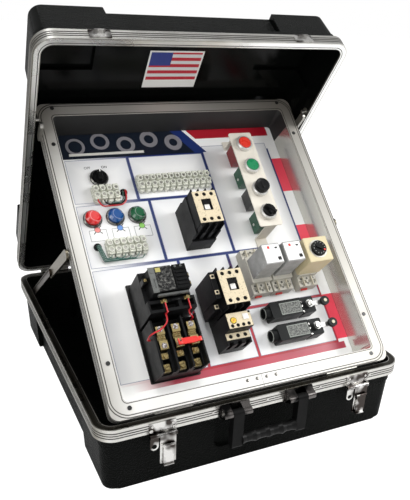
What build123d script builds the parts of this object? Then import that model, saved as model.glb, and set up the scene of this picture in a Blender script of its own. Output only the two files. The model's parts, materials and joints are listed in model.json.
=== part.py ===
from build123d import *
from math import atan2, cos, degrees, hypot, radians, sin, tan
import os

# Motor controls trainer in a moulded carrying case, shown open with its tray tilted up.
# Millimetres. Origin at the centre of the case's bottom, +Z up, +Y towards the lid's hinges.

# Case, measured over the aluminium bands
CASE_WIDTH = 538.0
CASE_DEPTH = 598.0
BASE_HEIGHT = 116.0
LID_BLOCK_HEIGHT = 88.0
LID_CORE_HEIGHT = 81.0
CASE_RADIUS = 30.0
WALL = 4.0
DRAFT = 2.5
SIDE_RECESS = 8.0
COLLAR_HEIGHT = 36.0
BLOCK_LENGTH_X = 120.0
BLOCK_LENGTH_Y = 124.0
BLOCK_DRAFT = 8.0
BLOCK_ROUND = 5.0

# Aluminium band on the rim of each half
BAND_HEIGHT = 20.0
BAND_OVERHANG = 7.0
BAND_FLANGE = 3.0
BAND_FLANGE_WIDTH = 12.0
GROOVE_WIDTH = 1.4
GROOVE_DEPTH = 0.8
GROOVE_PITCH = 4.0
GROOVES = 3
TRAY_GROOVES = 2

# Lid, its hinges and how far it stands open
LID_ANGLE = 54.3
LID_HINGE_INSET = 79.0
LID_HINGE_X = CASE_WIDTH / 2 - LID_HINGE_INSET
HINGE_LENGTH = 60.0
HINGE_KNUCKLES = 3
HINGE_KNUCKLE_RADIUS = 3.0
HINGE_PIN_RADIUS = 1.5
HINGE_RUNNING = 0.05
HINGE_LEAF = 1.6
HINGE_LEAF_DROP = 17.0
KNUCKLE_GAP = 0.4
LID_HINGE_OFFSET = HINGE_KNUCKLE_RADIUS + HINGE_LEAF + KNUCKLE_GAP

# Tray and its hinge at the front of the base
TRAY_SIDE_GAP = 12.0
TRAY_FRONT_GAP = 11.0
TRAY_REAR_GAP = 20.0
TRAY_WIDTH = CASE_WIDTH - 2 * BAND_FLANGE_WIDTH - 2 * TRAY_SIDE_GAP
TRAY_LENGTH = CASE_DEPTH - 2 * BAND_FLANGE_WIDTH - TRAY_FRONT_GAP - TRAY_REAR_GAP
TRAY_ANGLE = 43.4
TRAY_PIN_INSET = 5.0
TRAY_PIN_Y = TRAY_PIN_INSET + BAND_FLANGE_WIDTH - CASE_DEPTH / 2
TRAY_PIN_Z = 107.0
TRAY_PIN_BACK = 6.0
TRAY_PIN_BELOW = 16.0
TRAY_HINGE_X = 150.0
TRAY_RADIUS = 14.0
TRAY_LIP_WIDTH = 24.0
TRAY_LIP = 2.5
TRAY_SKIRT_HEIGHT = 20.0
TRAY_SKIRT = 3.0
TRAY_WALL = 2.0
TRAY_WALL_TAPER = 5.0
TRAY_INNER_RADIUS = 8.0
PANEL_DEPTH = 48.0
PANEL_THICKNESS = 2.0
PANEL_CLEARANCE = 0.3
LEDGE_WIDTH = 9.0
LEDGE_THICKNESS = 2.0

# Carrying handle
HANDLE_X = 57.0
HANDLE_PIN_OUT = 12.0
HANDLE_PIN_Y = -CASE_DEPTH / 2 - HANDLE_PIN_OUT
HANDLE_PIN_Z = 105.0
HANDLE_PIN_RADIUS = 3.0
HANDLE_BRACKET_WIDTH = 46.0
HANDLE_BRACKET_HEIGHT = 24.0
HANDLE_CHEEK = 6.0
HANDLE_BACKING = 2.0
HANDLE_ARM_WIDTH = 18.0
HANDLE_ARM_DEPTH = 13.0
HANDLE_ARM_LENGTH = 56.0
HANDLE_SIDE_GAP = 0.4
GRIP_RADIUS = 9.5
GRIP_WAIST = 1.8
GRIP_SLOPE = 7.0
GRIP_FINGERS = 4
GRIP_ABOVE_END = 13.0
POCKET_WIDTH = 168.0
POCKET_HEIGHT = 62.0
POCKET_TOP = 90.0
POCKET_DEPTH = 10.0
POCKET_DRAFT = 12.0

# Draw latches
LATCH_INSET = 96.0
LATCH_X = CASE_WIDTH / 2 - LATCH_INSET
LATCH_PIN_Z = 93.0
LATCH_PIN_OUT = 5.0
LATCH_PLATE_WIDTH = 42.0
LATCH_PLATE_TOP = 113.5
LATCH_PLATE_THICKNESS = 1.5
LATCH_BARREL_RADIUS = 3.4
LATCH_PIN_RADIUS = 1.5
LATCH_LEVER_WIDTH = 25.0
LATCH_LEVER_LENGTH = 48.0
LATCH_LEVER_THICKNESS = 1.8
LATCH_LEVER_SHIFT = 6.0
LATCH_HOOK_WIDTH = 16.0
LATCH_HOOK_LENGTH = 34.0
LATCH_HOOK_PIN_DROP = 15.0
LATCH_HOOK_THICKNESS = 1.6
LATCH_HOOK_LIP = 4.0
LATCH_HOOK_BARREL_RADIUS = 2.0
LATCH_HOOK_PIN_RADIUS = 1.0
LATCH_HOOK_EAR = 1.5
LATCH_EYE_RADIUS = 6.5
LATCH_EYE_HOLE_RADIUS = 3.8
LATCH_GAP = 0.4
STRIKE_WIDTH = 34.0
STRIKE_HEIGHT = 15.0
STRIKE_THICKNESS = 1.8
STRIKE_LIP = 4.0
STRIKE_LIP_WIDTH = 17.0
STRIKE_LIP_UP = 3.75

# Telescopic stays that hold the tray up
STAY_TRAY_V = 270.0
STAY_TRAY_W = -12.0
STAY_BASE_INSET = 55.0
STAY_BASE_Y = CASE_DEPTH / 2 - STAY_BASE_INSET
STAY_BASE_Z = 90.0
STAY_ROD_LENGTH = 248.0
STAY_SLEEVE_LENGTH = 152.0
STAY_ROD_WIDTH = 13.0
STAY_SLEEVE_WIDTH = 17.0
STAY_ROD_THICKNESS = 3.0
STAY_SLEEVE_THICKNESS = 4.0
STAY_CHANNEL_WALL = 1.2
STAY_SKIRT_GAP = 2.2
STAY_SIDE_GAP = 0.6
STAY_PIN_RADIUS = 2.5
STAY_HEAD_RADIUS = 5.0

# Props that the open lid leans on
PROP_INSET = 58.0
PROP_V = TRAY_LENGTH - PROP_INSET
PROP_WIDTH = 13.0
PROP_BELOW = 16.0
PROP_ABOVE = 26.0
PROP_THICKNESS = 5.0
PROP_WALL = 1.5
PROP_STUD_RADIUS = 3.0
PROP_STUD_W = 22.0
PROP_STUD_GAP = 0.8
PROP_STUD_INTO = 9.0
PROP_STUD_FLANGE_RADIUS = 7.0
PROP_STUD_FLANGE = 1.5

# Mounting height of flat-backed devices
MOUNT_HOLE_RADIUS = 11.2

# Power switch
POWER_U = -155.0
POWER_V = 423.0
BEZEL_RADIUS = 16.0
BEZEL_HEIGHT = 5.0
BEZEL_CHAMFER = 1.5
OPERATOR_NECK_RADIUS = 11.0
OPERATOR_DEPTH = 34.0
OPERATOR_NUT_RADIUS = 14.0
OPERATOR_NUT = 4.0
NUT_SIDES = 6
KNOB_RADIUS = 12.0
KNOB_SKIRT = 5.0
KNOB_HEIGHT = 15.0
KNOB_GRIP_WIDTH = 8.0
KNOB_CHAMFER = 1.2
TURN_GAP = 0.4

# Terminal blocks of clear plastic
BLOCK_PITCH = 11.6
BLOCK_DEPTH = 27.0
BLOCK_HEIGHT = 9.0
BLOCK_TOWER = 5.0
BLOCK_TOWER_WIDTH = 8.6
BLOCK_TOWER_DEPTH = 9.0
BLOCK_SCREW_RADIUS = 2.6
STRIP_U = -23.0
STRIP_V = 403.0
STRIP_WAYS = 12
POWER_BLOCK_U = -152.0
POWER_BLOCK_V = 389.0
POWER_BLOCK_WAYS = 4
LAMP_BLOCK_WAYS = 6

# Grommets and pigtail wires
GROMMET_RADIUS = 6.5
GROMMET_HOLE_RADIUS = 3.6
GROMMET_HEIGHT = 2.5
GROMMET_PANEL_RADIUS = 5.0
POWER_GROMMET = (-119.0, 391.0)
WIRE_RADIUS = 1.3
WIRE_SIDES = 6
WIRE_LOWEST = 5.1
WIRE_LAYER = 3.0
WIRE_LEAD_IN = 3.0
POWER_WIRE_SPREAD = 1.9
POWER_WIRE_BEARINGS = (30.0, 270.0, 150.0)
POWER_WIRE_SWING = 9.0
WIRE_BEND = 30.0
FAN_WIRE_RADIUS = 0.85
FAN_BEND = 3.4
FAN_STEP = 0.9
FAN_SPLIT = 1.3
FAN_HEIGHT = 6.0
FAN_LAYER = 2.2
FAN_ROW = 4.5
FAN_LEAD = 7.0
FAN_START = 6.0
BEND_SHARE = 0.45

# Pilot lamps
LAMP_V = 345.0
LAMP_INSET = 70.2
LAMP_PITCH = 39.0
LAMP_BLOCK_ACROSS = 4.5
LAMP_BLOCK_DROP = 59.0
LAMP_GROMMET_ACROSS = 42.5
LAMP_GROMMET_DROP = 52.0
LENS_RADIUS = 13.2
LENS_HEIGHT = 9.0
LENS_CROWN = 4.0

# Modular contactors, the upper one alone and the lower one in the starter
CONTACTOR_U = -14.0
CONTACTOR_V = (305.0, 161.0)
CONTACTOR_WIDTH = 45.0
CONTACTOR_LENGTH = 76.0
CONTACTOR_BASE = 34.0
CONTACTOR_STEP = 58.0
CONTACTOR_HEIGHT = 82.0
CONTACTOR_MID_LENGTH = 70.0
CONTACTOR_FACE_LENGTH = 58.0
CONTACTOR_FACE_WIDTH = 42.0
PLUNGER_SIZE = 9.0
PLUNGER_WINDOW = 14.0
PLUNGER_WINDOW_DEPTH = 4.0
PLUNGER_LENGTH = 12.0
PLUNGER_PROUD = 1.0
SLIDE_GAP = 0.3
POLES = 3

# Overload relay under the lower contactor
RELAY_GAP = 0.4
RELAY_LENGTH = 46.0
RELAY_WIDTH = 44.0
RELAY_HEIGHT = 44.0
RELAY_FACE_HEIGHT = 66.0
RELAY_FACE_LENGTH = 26.0
RELAY_PORT_WIDTH = 7.3
RELAY_PORT_LENGTH = 11.5
RELAY_PORT_DEPTH = 22.0
RELAY_DIAL_RADIUS = 4.5
RELAY_DIAL_HEIGHT = 2.0
RELAY_SLOT_LENGTH = 6.3
RELAY_SLOT_DEPTH = 1.0
RELAY_DIAL_TURN = 45.0

# Large starter
STARTER_U = -118.0
STARTER_V = 135.0
STARTER_WIDTH = 84.0
STARTER_LENGTH = 168.0
STARTER_PLATE = 2.0
MAGNET_WIDTH = 76.0
MAGNET_LENGTH = 52.0
MAGNET_V = 186.0
MAGNET_HEIGHT = 90.0
MAGNET_SHOULDER = 62.0
CROSSBAR_V = 150.0
CROSSBAR_LENGTH = 20.0
CROSSBAR_HEIGHT = 74.0
HEATER_BLOCK_V = 94.0
HEATER_BLOCK_LENGTH = 82.0
HEATER_BLOCK_HEIGHT = 46.0
HEATER_BARRIER = 3.0
HEATER_BARRIER_HEIGHT = 14.0
HEATER_V = 106.0
HEATER_WIDTH = 13.0
HEATER_LENGTH = 36.0
HEATER_HEIGHT = 12.0
HEATER_STRAP = 2.0
HEATER_PLATE = 13.0
HEATER_DIP = 4.0
LUG_V = 62.0
LUG_SIZE = 12.0
LUG_HEIGHT = 10.0
RESET_U = -104.0
RESET_V = 92.0
RESET_WIDTH = 24.0
RESET_LENGTH = 9.0
RESET_TOP = 68.0
RESET_BAR = 4.5
RESET_STEM = 5.0
RESET_STEM_INTO = 7.0

# Relay sockets, relays and timer
SOCKET_U = (70.0, 111.0, 163.0)
SOCKET_V = 204.0
SOCKET_WIDTH = 38.0
SOCKET_LENGTH = 84.0
SOCKET_HEIGHT = 20.0
SOCKET_CORE = 30.0
SOCKET_CORE_LENGTH = 48.0
RELAY_CASE_WIDTH = 34.0
RELAY_CASE_LENGTH = 36.0
RELAY_CASE_HEIGHT = 58.0
RELAY_CASE_CORNER = 1.5
TIMER_WIDTH = 47.0
TIMER_LENGTH = 45.0
TIMER_HEIGHT = 52.0
TIMER_DIAL_RADIUS = 13.5
TIMER_DIAL_HEIGHT = 5.0
TIMER_DIAL_TURN = -30.0

# Push-button station
STATION_U = 111.0
STATION_V = 369.0
STATION_WIDTH = 46.0
STATION_LENGTH = 194.0
STATION_HEIGHT = 52.0
STATION_THICKNESS = 2.0
STATION_CORNER = 4.0
STATION_LEG_WIDTH = 22.0
STATION_FOOT = 16.0
OPERATORS = 4
OPERATOR_PITCH = 47.5
CONTACT_WIDTH = 22.0
CONTACT_LENGTH = 32.0
CONTACT_HEIGHT = 26.0
CONTACT_DEPTH = 22.0
BUTTON_RADIUS = 11.5
BUTTON_HEIGHT = 5.4
BUTTON_ROUND = 1.0
BUTTON_TRAVEL = 3.0
STATION_BEZEL_RADIUS = 15.0
STATION_BEZEL_HEIGHT = 8.0
BEZEL_BORE_RADIUS = 12.2

# Limit switches
LIMIT_U = 100.0
LIMIT_V = (127.0, 86.0)
LIMIT_WIDTH = 29.0
LIMIT_LENGTH = 62.0
LIMIT_HEIGHT = 27.0
LIMIT_CORNER = 3.0
LIMIT_CONDUIT_WALL = 2.0
LIMIT_HEAD_LENGTH = 26.0
LIMIT_HEAD_HEIGHT = 24.0
LIMIT_CONDUIT_RADIUS = 11.0
LIMIT_CONDUIT_LENGTH = 9.0
LIMIT_HUB_RADIUS = 7.0
LIMIT_HUB_HEIGHT = 7.0
LIMIT_SHAFT_RADIUS = 3.0
LIMIT_SHAFT_LENGTH = 9.0
LIMIT_ARM = 31.0
LIMIT_ARM_WIDTH = 8.0
LIMIT_ARM_THICKNESS = 2.5
ROLLER_RADIUS = 8.0
ROLLER_WIDTH = 6.0
ROLLER_PIN_RADIUS = 2.0

# Shared planes and places worked out from the sizes above
SHELL_WIDTH = CASE_WIDTH - 2 * BAND_OVERHANG
SHELL_DEPTH = CASE_DEPTH - 2 * BAND_OVERHANG
SHELL_RADIUS = CASE_RADIUS - BAND_OVERHANG
LID_SIN, LID_COS = sin(radians(LID_ANGLE)), cos(radians(LID_ANGLE))
TRAY_SIN, TRAY_COS = sin(radians(TRAY_ANGLE)), cos(radians(TRAY_ANGLE))
LID_PIN = (0, CASE_DEPTH / 2 + LID_HINGE_OFFSET, BASE_HEIGHT)
LID_REACH = CASE_DEPTH / 2 + LID_HINGE_OFFSET
BASE_RIM = Plane(origin=(0, 0, BASE_HEIGHT), x_dir=(1, 0, 0), z_dir=(0, 0, -1))
LID_RIM = Plane(
    origin=(0, LID_PIN[1] - LID_REACH * LID_COS, LID_PIN[2] + LID_REACH * LID_SIN),
    x_dir=(1, 0, 0),
    z_dir=(0, LID_SIN, LID_COS),
)
TRAY = Plane(
    origin=(
        0,
        TRAY_PIN_Y + TRAY_PIN_BACK * TRAY_COS - TRAY_PIN_BELOW * TRAY_SIN,
        TRAY_PIN_Z + TRAY_PIN_BACK * TRAY_SIN + TRAY_PIN_BELOW * TRAY_COS,
    ),
    x_dir=(1, 0, 0),
    z_dir=(0, -TRAY_SIN, TRAY_COS),
)
PANEL = TRAY.offset(-PANEL_DEPTH)
TRAY_MIDDLE = TRAY_LENGTH / 2
OPENING_WIDTH = TRAY_WIDTH - 2 * TRAY_LIP_WIDTH
OPENING_LENGTH = TRAY_LENGTH - 2 * TRAY_LIP_WIDTH
PANEL_WIDTH = OPENING_WIDTH - 2 * TRAY_WALL_TAPER - 2 * PANEL_CLEARANCE
PANEL_LENGTH = OPENING_LENGTH - 2 * TRAY_WALL_TAPER - 2 * PANEL_CLEARANCE
LAMP_U = LAMP_INSET - PANEL_WIDTH / 2
LAMP_BLOCK_U = LAMP_U + LAMP_BLOCK_ACROSS
LAMP_BLOCK_V = LAMP_V - LAMP_BLOCK_DROP
LAMP_GROMMET = (LAMP_U - LAMP_GROMMET_ACROSS, LAMP_V - LAMP_GROMMET_DROP)
BAND_FACE_Y = -CASE_DEPTH / 2
SIDES = (-1, 1)


os.makedirs("parts", exist_ok=True)


def save(builder, name):
    """Label a finished piece and write its STEP file"""
    builder.part.label = name
    export_step(builder.part, f"parts/{name}.step")


def axis_of(plane):
    return Axis(plane.origin, plane.z_dir)


# Moulded shells


def moulded_form(rim, inset, block_height, core_height, front_recess):
    """Outside of a moulded half, or its inside when inset by the wall"""
    width = SHELL_WIDTH - 2 * inset
    depth = SHELL_DEPTH - 2 * inset
    radius = SHELL_RADIUS - inset
    shift = (front_recess - SIDE_RECESS) / 2
    front = -1 if rim.y_dir.Y > 0 else 1
    start = rim.offset(BAND_FLANGE)
    with BuildPart() as form:
        with BuildSketch(start):
            RectangleRounded(width, depth, radius)
        extrude(amount=block_height - BAND_FLANGE - inset, taper=DRAFT)
        with BuildSketch(start):
            for side_x in SIDES:
                for side_y in SIDES:
                    with Locations((side_x * width / 2, side_y * depth / 2)):
                        Rectangle(2 * (BLOCK_LENGTH_X - 2 * inset), 2 * (BLOCK_LENGTH_Y - 2 * inset))
        extrude(amount=block_height - BAND_FLANGE - inset, taper=BLOCK_DRAFT / 2, mode=Mode.INTERSECT)
        if inset == 0:
            fillet(form.edges().group_by(axis_of(rim))[-1], BLOCK_ROUND)
        with BuildSketch(start):
            with Locations((0, -front * shift)):
                RectangleRounded(width - 2 * SIDE_RECESS, depth - SIDE_RECESS - front_recess, radius)
        extrude(amount=core_height - BAND_FLANGE - inset, taper=DRAFT)
        with BuildSketch(start):
            RectangleRounded(width, depth, radius)
        extrude(amount=COLLAR_HEIGHT - BAND_FLANGE - inset)
    return form.part


def pocket_form(grow):
    """Handle pocket in the front wall, or the room it takes inside when grown by the wall"""
    wall_y = -SHELL_DEPTH / 2
    mouth = Plane(origin=(0, wall_y - WALL, POCKET_TOP - POCKET_HEIGHT / 2), x_dir=(1, 0, 0), z_dir=(0, 1, 0))
    with BuildPart() as pocket:
        with BuildSketch(mouth):
            RectangleRounded(POCKET_WIDTH + 2 * grow, POCKET_HEIGHT + 2 * grow, CASE_RADIUS / 2)
        extrude(amount=POCKET_DEPTH + WALL + grow, taper=POCKET_DRAFT)
    return pocket.part


def band(rim, radius_inside):
    """Ribbed aluminium extrusion bent round a rim, flange against the joint plane"""
    with BuildPart() as ring:
        with BuildSketch(rim):
            RectangleRounded(CASE_WIDTH, CASE_DEPTH, CASE_RADIUS)
            RectangleRounded(SHELL_WIDTH, SHELL_DEPTH, SHELL_RADIUS, mode=Mode.SUBTRACT)
        extrude(amount=BAND_HEIGHT)
        with BuildSketch(rim):
            RectangleRounded(CASE_WIDTH - BAND_OVERHANG, CASE_DEPTH - BAND_OVERHANG, radius_inside)
            RectangleRounded(
                CASE_WIDTH - 2 * BAND_FLANGE_WIDTH,
                CASE_DEPTH - 2 * BAND_FLANGE_WIDTH,
                CASE_RADIUS - BAND_FLANGE_WIDTH,
                mode=Mode.SUBTRACT,
            )
        extrude(amount=BAND_FLANGE)
        for index in range(GROOVES):
            middle = BAND_HEIGHT / 2 + (index - (GROOVES - 1) / 2) * GROOVE_PITCH
            with BuildSketch(rim.offset(middle - GROOVE_WIDTH / 2)):
                RectangleRounded(CASE_WIDTH, CASE_DEPTH, CASE_RADIUS)
                RectangleRounded(
                    CASE_WIDTH - 2 * GROOVE_DEPTH,
                    CASE_DEPTH - 2 * GROOVE_DEPTH,
                    CASE_RADIUS - GROOVE_DEPTH,
                    mode=Mode.SUBTRACT,
                )
            extrude(amount=GROOVE_WIDTH, mode=Mode.SUBTRACT)
    return ring


base_inside = moulded_form(BASE_RIM, WALL, BASE_HEIGHT, BASE_HEIGHT, 0)
base_outside = moulded_form(BASE_RIM, 0, BASE_HEIGHT, BASE_HEIGHT, 0)
with BuildPart() as base_hollow:
    add(base_inside)
    add(pocket_form(WALL), mode=Mode.SUBTRACT)
with BuildPart() as base_shell:
    add(base_outside)
    add(base_hollow.part, mode=Mode.SUBTRACT)
    add(pocket_form(0), mode=Mode.SUBTRACT)
save(base_shell, "base_shell")

with BuildPart() as lid_shell:
    add(moulded_form(LID_RIM, 0, LID_BLOCK_HEIGHT, LID_CORE_HEIGHT, SIDE_RECESS))
    add(moulded_form(LID_RIM, WALL, LID_BLOCK_HEIGHT, LID_CORE_HEIGHT, SIDE_RECESS), mode=Mode.SUBTRACT)
save(lid_shell, "lid_shell")

base_band = band(BASE_RIM, CASE_RADIUS - BAND_OVERHANG / 2)
save(base_band, "base_band")
lid_band = band(LID_RIM, CASE_RADIUS - BAND_OVERHANG / 2)
save(lid_band, "lid_band")


# Hinges: leaves with knuckles in turn along one pin


def knuckle_spans(own):
    """Start and length of each knuckle that belongs to one leaf of a hinge"""
    each = HINGE_LENGTH / HINGE_KNUCKLES
    for index in range(HINGE_KNUCKLES):
        if (index % 2 == 0) == own:
            yield -HINGE_LENGTH / 2 + index * each + KNUCKLE_GAP / 2, each - KNUCKLE_GAP


def hinge_leaf(pin, x, leaf_out, leaf_along, drop, outer_knuckles):
    """Leaf on a face that lies leaf_out from the pin's axis, in the plane of the pin"""
    with BuildPart() as leaf:
        for start, length in knuckle_spans(outer_knuckles):
            section = Plane(origin=pin.from_local_coords((x + start, 0, 0)), x_dir=pin.y_dir, z_dir=pin.x_dir)
            with BuildSketch(section):
                Circle(HINGE_KNUCKLE_RADIUS)
                with Locations((leaf_out / 2, 0)):
                    Rectangle(abs(leaf_out), HINGE_LEAF)
                Circle(HINGE_PIN_RADIUS + HINGE_RUNNING, mode=Mode.SUBTRACT)
            extrude(amount=length)
        section = Plane(
            origin=pin.from_local_coords((x - HINGE_LENGTH / 2, 0, 0)), x_dir=pin.y_dir, z_dir=pin.x_dir
        )
        side = 1 if leaf_out > 0 else -1
        with BuildSketch(section):
            with Locations((leaf_out - side * HINGE_LEAF / 2, leaf_along * (drop / 2 - HINGE_LEAF / 2))):
                Rectangle(HINGE_LEAF, drop)
        extrude(amount=HINGE_LENGTH)
    return leaf.part


LID_HINGE_BASE = Plane(origin=LID_PIN, x_dir=(1, 0, 0), z_dir=(0, 0, 1))
LID_HINGE_LID = Plane(origin=LID_PIN, x_dir=(1, 0, 0), z_dir=(0, LID_SIN, LID_COS))
TRAY_HINGE_BASE = Plane(origin=(0, TRAY_PIN_Y, TRAY_PIN_Z), x_dir=(1, 0, 0), z_dir=(0, 0, 1))
TRAY_HINGE_TRAY = Plane(origin=(0, TRAY_PIN_Y, TRAY_PIN_Z), x_dir=(1, 0, 0), z_dir=TRAY.z_dir)
BASE_INNER_Y = -SHELL_DEPTH / 2 + WALL

with BuildPart() as base_hinge_leaves:
    for side in SIDES:
        add(hinge_leaf(LID_HINGE_BASE, side * LID_HINGE_X, -LID_HINGE_OFFSET, -1, HINGE_LEAF_DROP, True))
save(base_hinge_leaves, "base_hinge_leaves")

with BuildPart() as lid_hinge_leaves:
    for side in SIDES:
        add(hinge_leaf(LID_HINGE_LID, side * LID_HINGE_X, -LID_HINGE_OFFSET, 1, HINGE_LEAF_DROP, False))
save(lid_hinge_leaves, "lid_hinge_leaves")

with BuildPart() as hinge_pins:
    for pin, spread in ((LID_HINGE_BASE, LID_HINGE_X), (TRAY_HINGE_BASE, TRAY_HINGE_X)):
        for side in SIDES:
            start = pin.from_local_coords((side * spread - HINGE_LENGTH / 2, 0, 0))
            with BuildSketch(Plane(origin=start, x_dir=(0, 1, 0), z_dir=(1, 0, 0))):
                Circle(HINGE_PIN_RADIUS)
            extrude(amount=HINGE_LENGTH)
save(hinge_pins, "hinge_pins")


# Tray frame and panel


def tray_ring(grow_out, radius_out, grow_in, radius_in, top, bottom, mode=Mode.ADD):
    """Straight ring of the tray frame between two heights under its lip"""
    with BuildSketch(TRAY.offset(bottom)) as ring:
        with Locations((0, TRAY_MIDDLE)):
            RectangleRounded(TRAY_WIDTH + 2 * grow_out, TRAY_LENGTH + 2 * grow_out, radius_out)
            RectangleRounded(
                TRAY_WIDTH + 2 * grow_in, TRAY_LENGTH + 2 * grow_in, radius_in, mode=Mode.SUBTRACT
            )
    extrude(ring.sketch, amount=top - bottom, mode=mode)


PAN_BOTTOM = PANEL_DEPTH + PANEL_THICKNESS + LEDGE_THICKNESS
PAN_TAPER = degrees(atan2(TRAY_WALL_TAPER, PANEL_DEPTH))

with BuildPart() as tray_frame:
    with BuildSketch(TRAY):
        with Locations((0, TRAY_MIDDLE)):
            RectangleRounded(
                OPENING_WIDTH + 2 * TRAY_WALL, OPENING_LENGTH + 2 * TRAY_WALL, TRAY_INNER_RADIUS + TRAY_WALL
            )
    extrude(amount=-PAN_BOTTOM, taper=PAN_TAPER)
    tray_ring(0, TRAY_RADIUS, -TRAY_LIP_WIDTH, TRAY_INNER_RADIUS, 0, -TRAY_LIP)
    tray_ring(0, TRAY_RADIUS, -TRAY_SKIRT, TRAY_RADIUS - TRAY_SKIRT, 0, -TRAY_SKIRT_HEIGHT)
    with BuildSketch(TRAY):
        with Locations((0, TRAY_MIDDLE)):
            RectangleRounded(OPENING_WIDTH, OPENING_LENGTH, TRAY_INNER_RADIUS)
    extrude(amount=-PANEL_DEPTH - PANEL_THICKNESS, taper=PAN_TAPER, mode=Mode.SUBTRACT)
    with BuildSketch(TRAY):
        with Locations((0, TRAY_MIDDLE)):
            RectangleRounded(PANEL_WIDTH - 2 * LEDGE_WIDTH, PANEL_LENGTH - 2 * LEDGE_WIDTH, TRAY_INNER_RADIUS)
    extrude(amount=-PAN_BOTTOM, mode=Mode.SUBTRACT)
    for index in range(TRAY_GROOVES):
        middle = -TRAY_SKIRT_HEIGHT / 2 + (index - (TRAY_GROOVES - 1) / 2) * GROOVE_PITCH
        tray_ring(
            0,
            TRAY_RADIUS,
            -GROOVE_DEPTH,
            TRAY_RADIUS - GROOVE_DEPTH,
            middle + GROOVE_WIDTH / 2,
            middle - GROOVE_WIDTH / 2,
            mode=Mode.SUBTRACT,
        )
save(tray_frame, "tray_frame")

LAMP_PLACES = [(LAMP_U + index * LAMP_PITCH, LAMP_V) for index in (-1, 0, 1)]
with BuildPart() as panel:
    with BuildSketch(PANEL):
        with Locations((0, TRAY_MIDDLE)):
            RectangleRounded(PANEL_WIDTH, PANEL_LENGTH, TRAY_INNER_RADIUS - TRAY_WALL)
        with Locations((POWER_U, POWER_V), *LAMP_PLACES):
            Circle(MOUNT_HOLE_RADIUS, mode=Mode.SUBTRACT)
        with Locations(POWER_GROMMET, LAMP_GROMMET):
            Circle(GROMMET_PANEL_RADIUS + PANEL_CLEARANCE, mode=Mode.SUBTRACT)
    extrude(amount=-PANEL_THICKNESS)
save(panel, "panel")


# Carrying handle on the front of the base


with BuildPart() as handle_brackets:
    for side in SIDES:
        for cheek in SIDES:
            start = side * HANDLE_X + cheek * (HANDLE_ARM_WIDTH / 2 + HANDLE_SIDE_GAP)
            with BuildSketch(Plane.YZ.offset(start)):
                with BuildLine():
                    Polyline(
                        (BAND_FACE_Y, HANDLE_PIN_Z - HANDLE_BRACKET_HEIGHT / 2),
                        (HANDLE_PIN_Y, HANDLE_PIN_Z - HANDLE_CHEEK),
                    )
                    ThreePointArc(
                        (HANDLE_PIN_Y, HANDLE_PIN_Z - HANDLE_CHEEK),
                        (HANDLE_PIN_Y - HANDLE_CHEEK, HANDLE_PIN_Z),
                        (HANDLE_PIN_Y, HANDLE_PIN_Z + HANDLE_CHEEK),
                    )
                    Polyline(
                        (HANDLE_PIN_Y, HANDLE_PIN_Z + HANDLE_CHEEK),
                        (BAND_FACE_Y, HANDLE_PIN_Z + HANDLE_BRACKET_HEIGHT / 2),
                        (BAND_FACE_Y, HANDLE_PIN_Z - HANDLE_BRACKET_HEIGHT / 2),
                    )
                make_face()
            extrude(amount=cheek * (HANDLE_BRACKET_WIDTH - HANDLE_ARM_WIDTH) / 2)
        with BuildSketch(Plane.YZ.offset(side * HANDLE_X - HANDLE_BRACKET_WIDTH / 2)):
            with Locations((HANDLE_PIN_Y, HANDLE_PIN_Z)):
                Circle(HANDLE_PIN_RADIUS)
        extrude(amount=HANDLE_BRACKET_WIDTH)
        with BuildSketch(Plane.XZ.offset(-BAND_FACE_Y)):
            with Locations((side * HANDLE_X, HANDLE_PIN_Z)):
                RectangleRounded(HANDLE_BRACKET_WIDTH + HANDLE_CHEEK, HANDLE_BRACKET_HEIGHT, HANDLE_CHEEK / 2)
        extrude(amount=HANDLE_BACKING)
save(handle_brackets, "handle_brackets")

ARM_RADIUS = HANDLE_ARM_DEPTH / 2
with BuildPart() as handle_arms:
    for side in SIDES:
        with BuildSketch(Plane.YZ.offset(side * HANDLE_X - HANDLE_ARM_WIDTH / 2)):
            with Locations((HANDLE_PIN_Y, HANDLE_PIN_Z - HANDLE_ARM_LENGTH / 2)):
                SlotCenterToCenter(HANDLE_ARM_LENGTH, HANDLE_ARM_DEPTH, rotation=90)
            with Locations((HANDLE_PIN_Y, HANDLE_PIN_Z)):
                Circle(HANDLE_PIN_RADIUS + HINGE_RUNNING, mode=Mode.SUBTRACT)
        extrude(amount=HANDLE_ARM_WIDTH)
save(handle_arms, "handle_arms")

GRIP_LENGTH = 2 * HANDLE_X - HANDLE_ARM_WIDTH
GRIP_Z = HANDLE_PIN_Z - HANDLE_ARM_LENGTH + GRIP_ABOVE_END - ARM_RADIUS
GRIP_AXIS = Plane(origin=(-GRIP_LENGTH / 2, HANDLE_PIN_Y, GRIP_Z), x_dir=(1, 0, 0), z_dir=(0, 0, 1))
with BuildPart() as handle_grip:
    with BuildSketch(GRIP_AXIS):
        with BuildLine():
            step = GRIP_LENGTH / GRIP_FINGERS
            for index in range(GRIP_FINGERS):
                Polyline(
                    (index * step, GRIP_RADIUS),
                    (index * step + GRIP_SLOPE, GRIP_RADIUS - GRIP_WAIST),
                    ((index + 1) * step - GRIP_SLOPE, GRIP_RADIUS - GRIP_WAIST),
                    ((index + 1) * step, GRIP_RADIUS),
                )
            Polyline((GRIP_LENGTH, GRIP_RADIUS), (GRIP_LENGTH, 0), (0, 0), (0, GRIP_RADIUS))
        make_face()
    revolve(axis=Axis(GRIP_AXIS.origin, (1, 0, 0)))
save(handle_grip, "handle_grip")


# Draw latches on the base band, with the lever hanging and the hook free of its strike

LATCH_PIN_Y = BAND_FACE_Y - LATCH_PIN_OUT
LEVER_Y = LATCH_PIN_Y - LATCH_BARREL_RADIUS
HOOK_PIN_Z = LATCH_PIN_Z - LATCH_HOOK_PIN_DROP
HOOK_PIN_Y = LEVER_Y - LATCH_GAP - LATCH_HOOK_BARREL_RADIUS
FRONT = Plane.XZ


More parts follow.
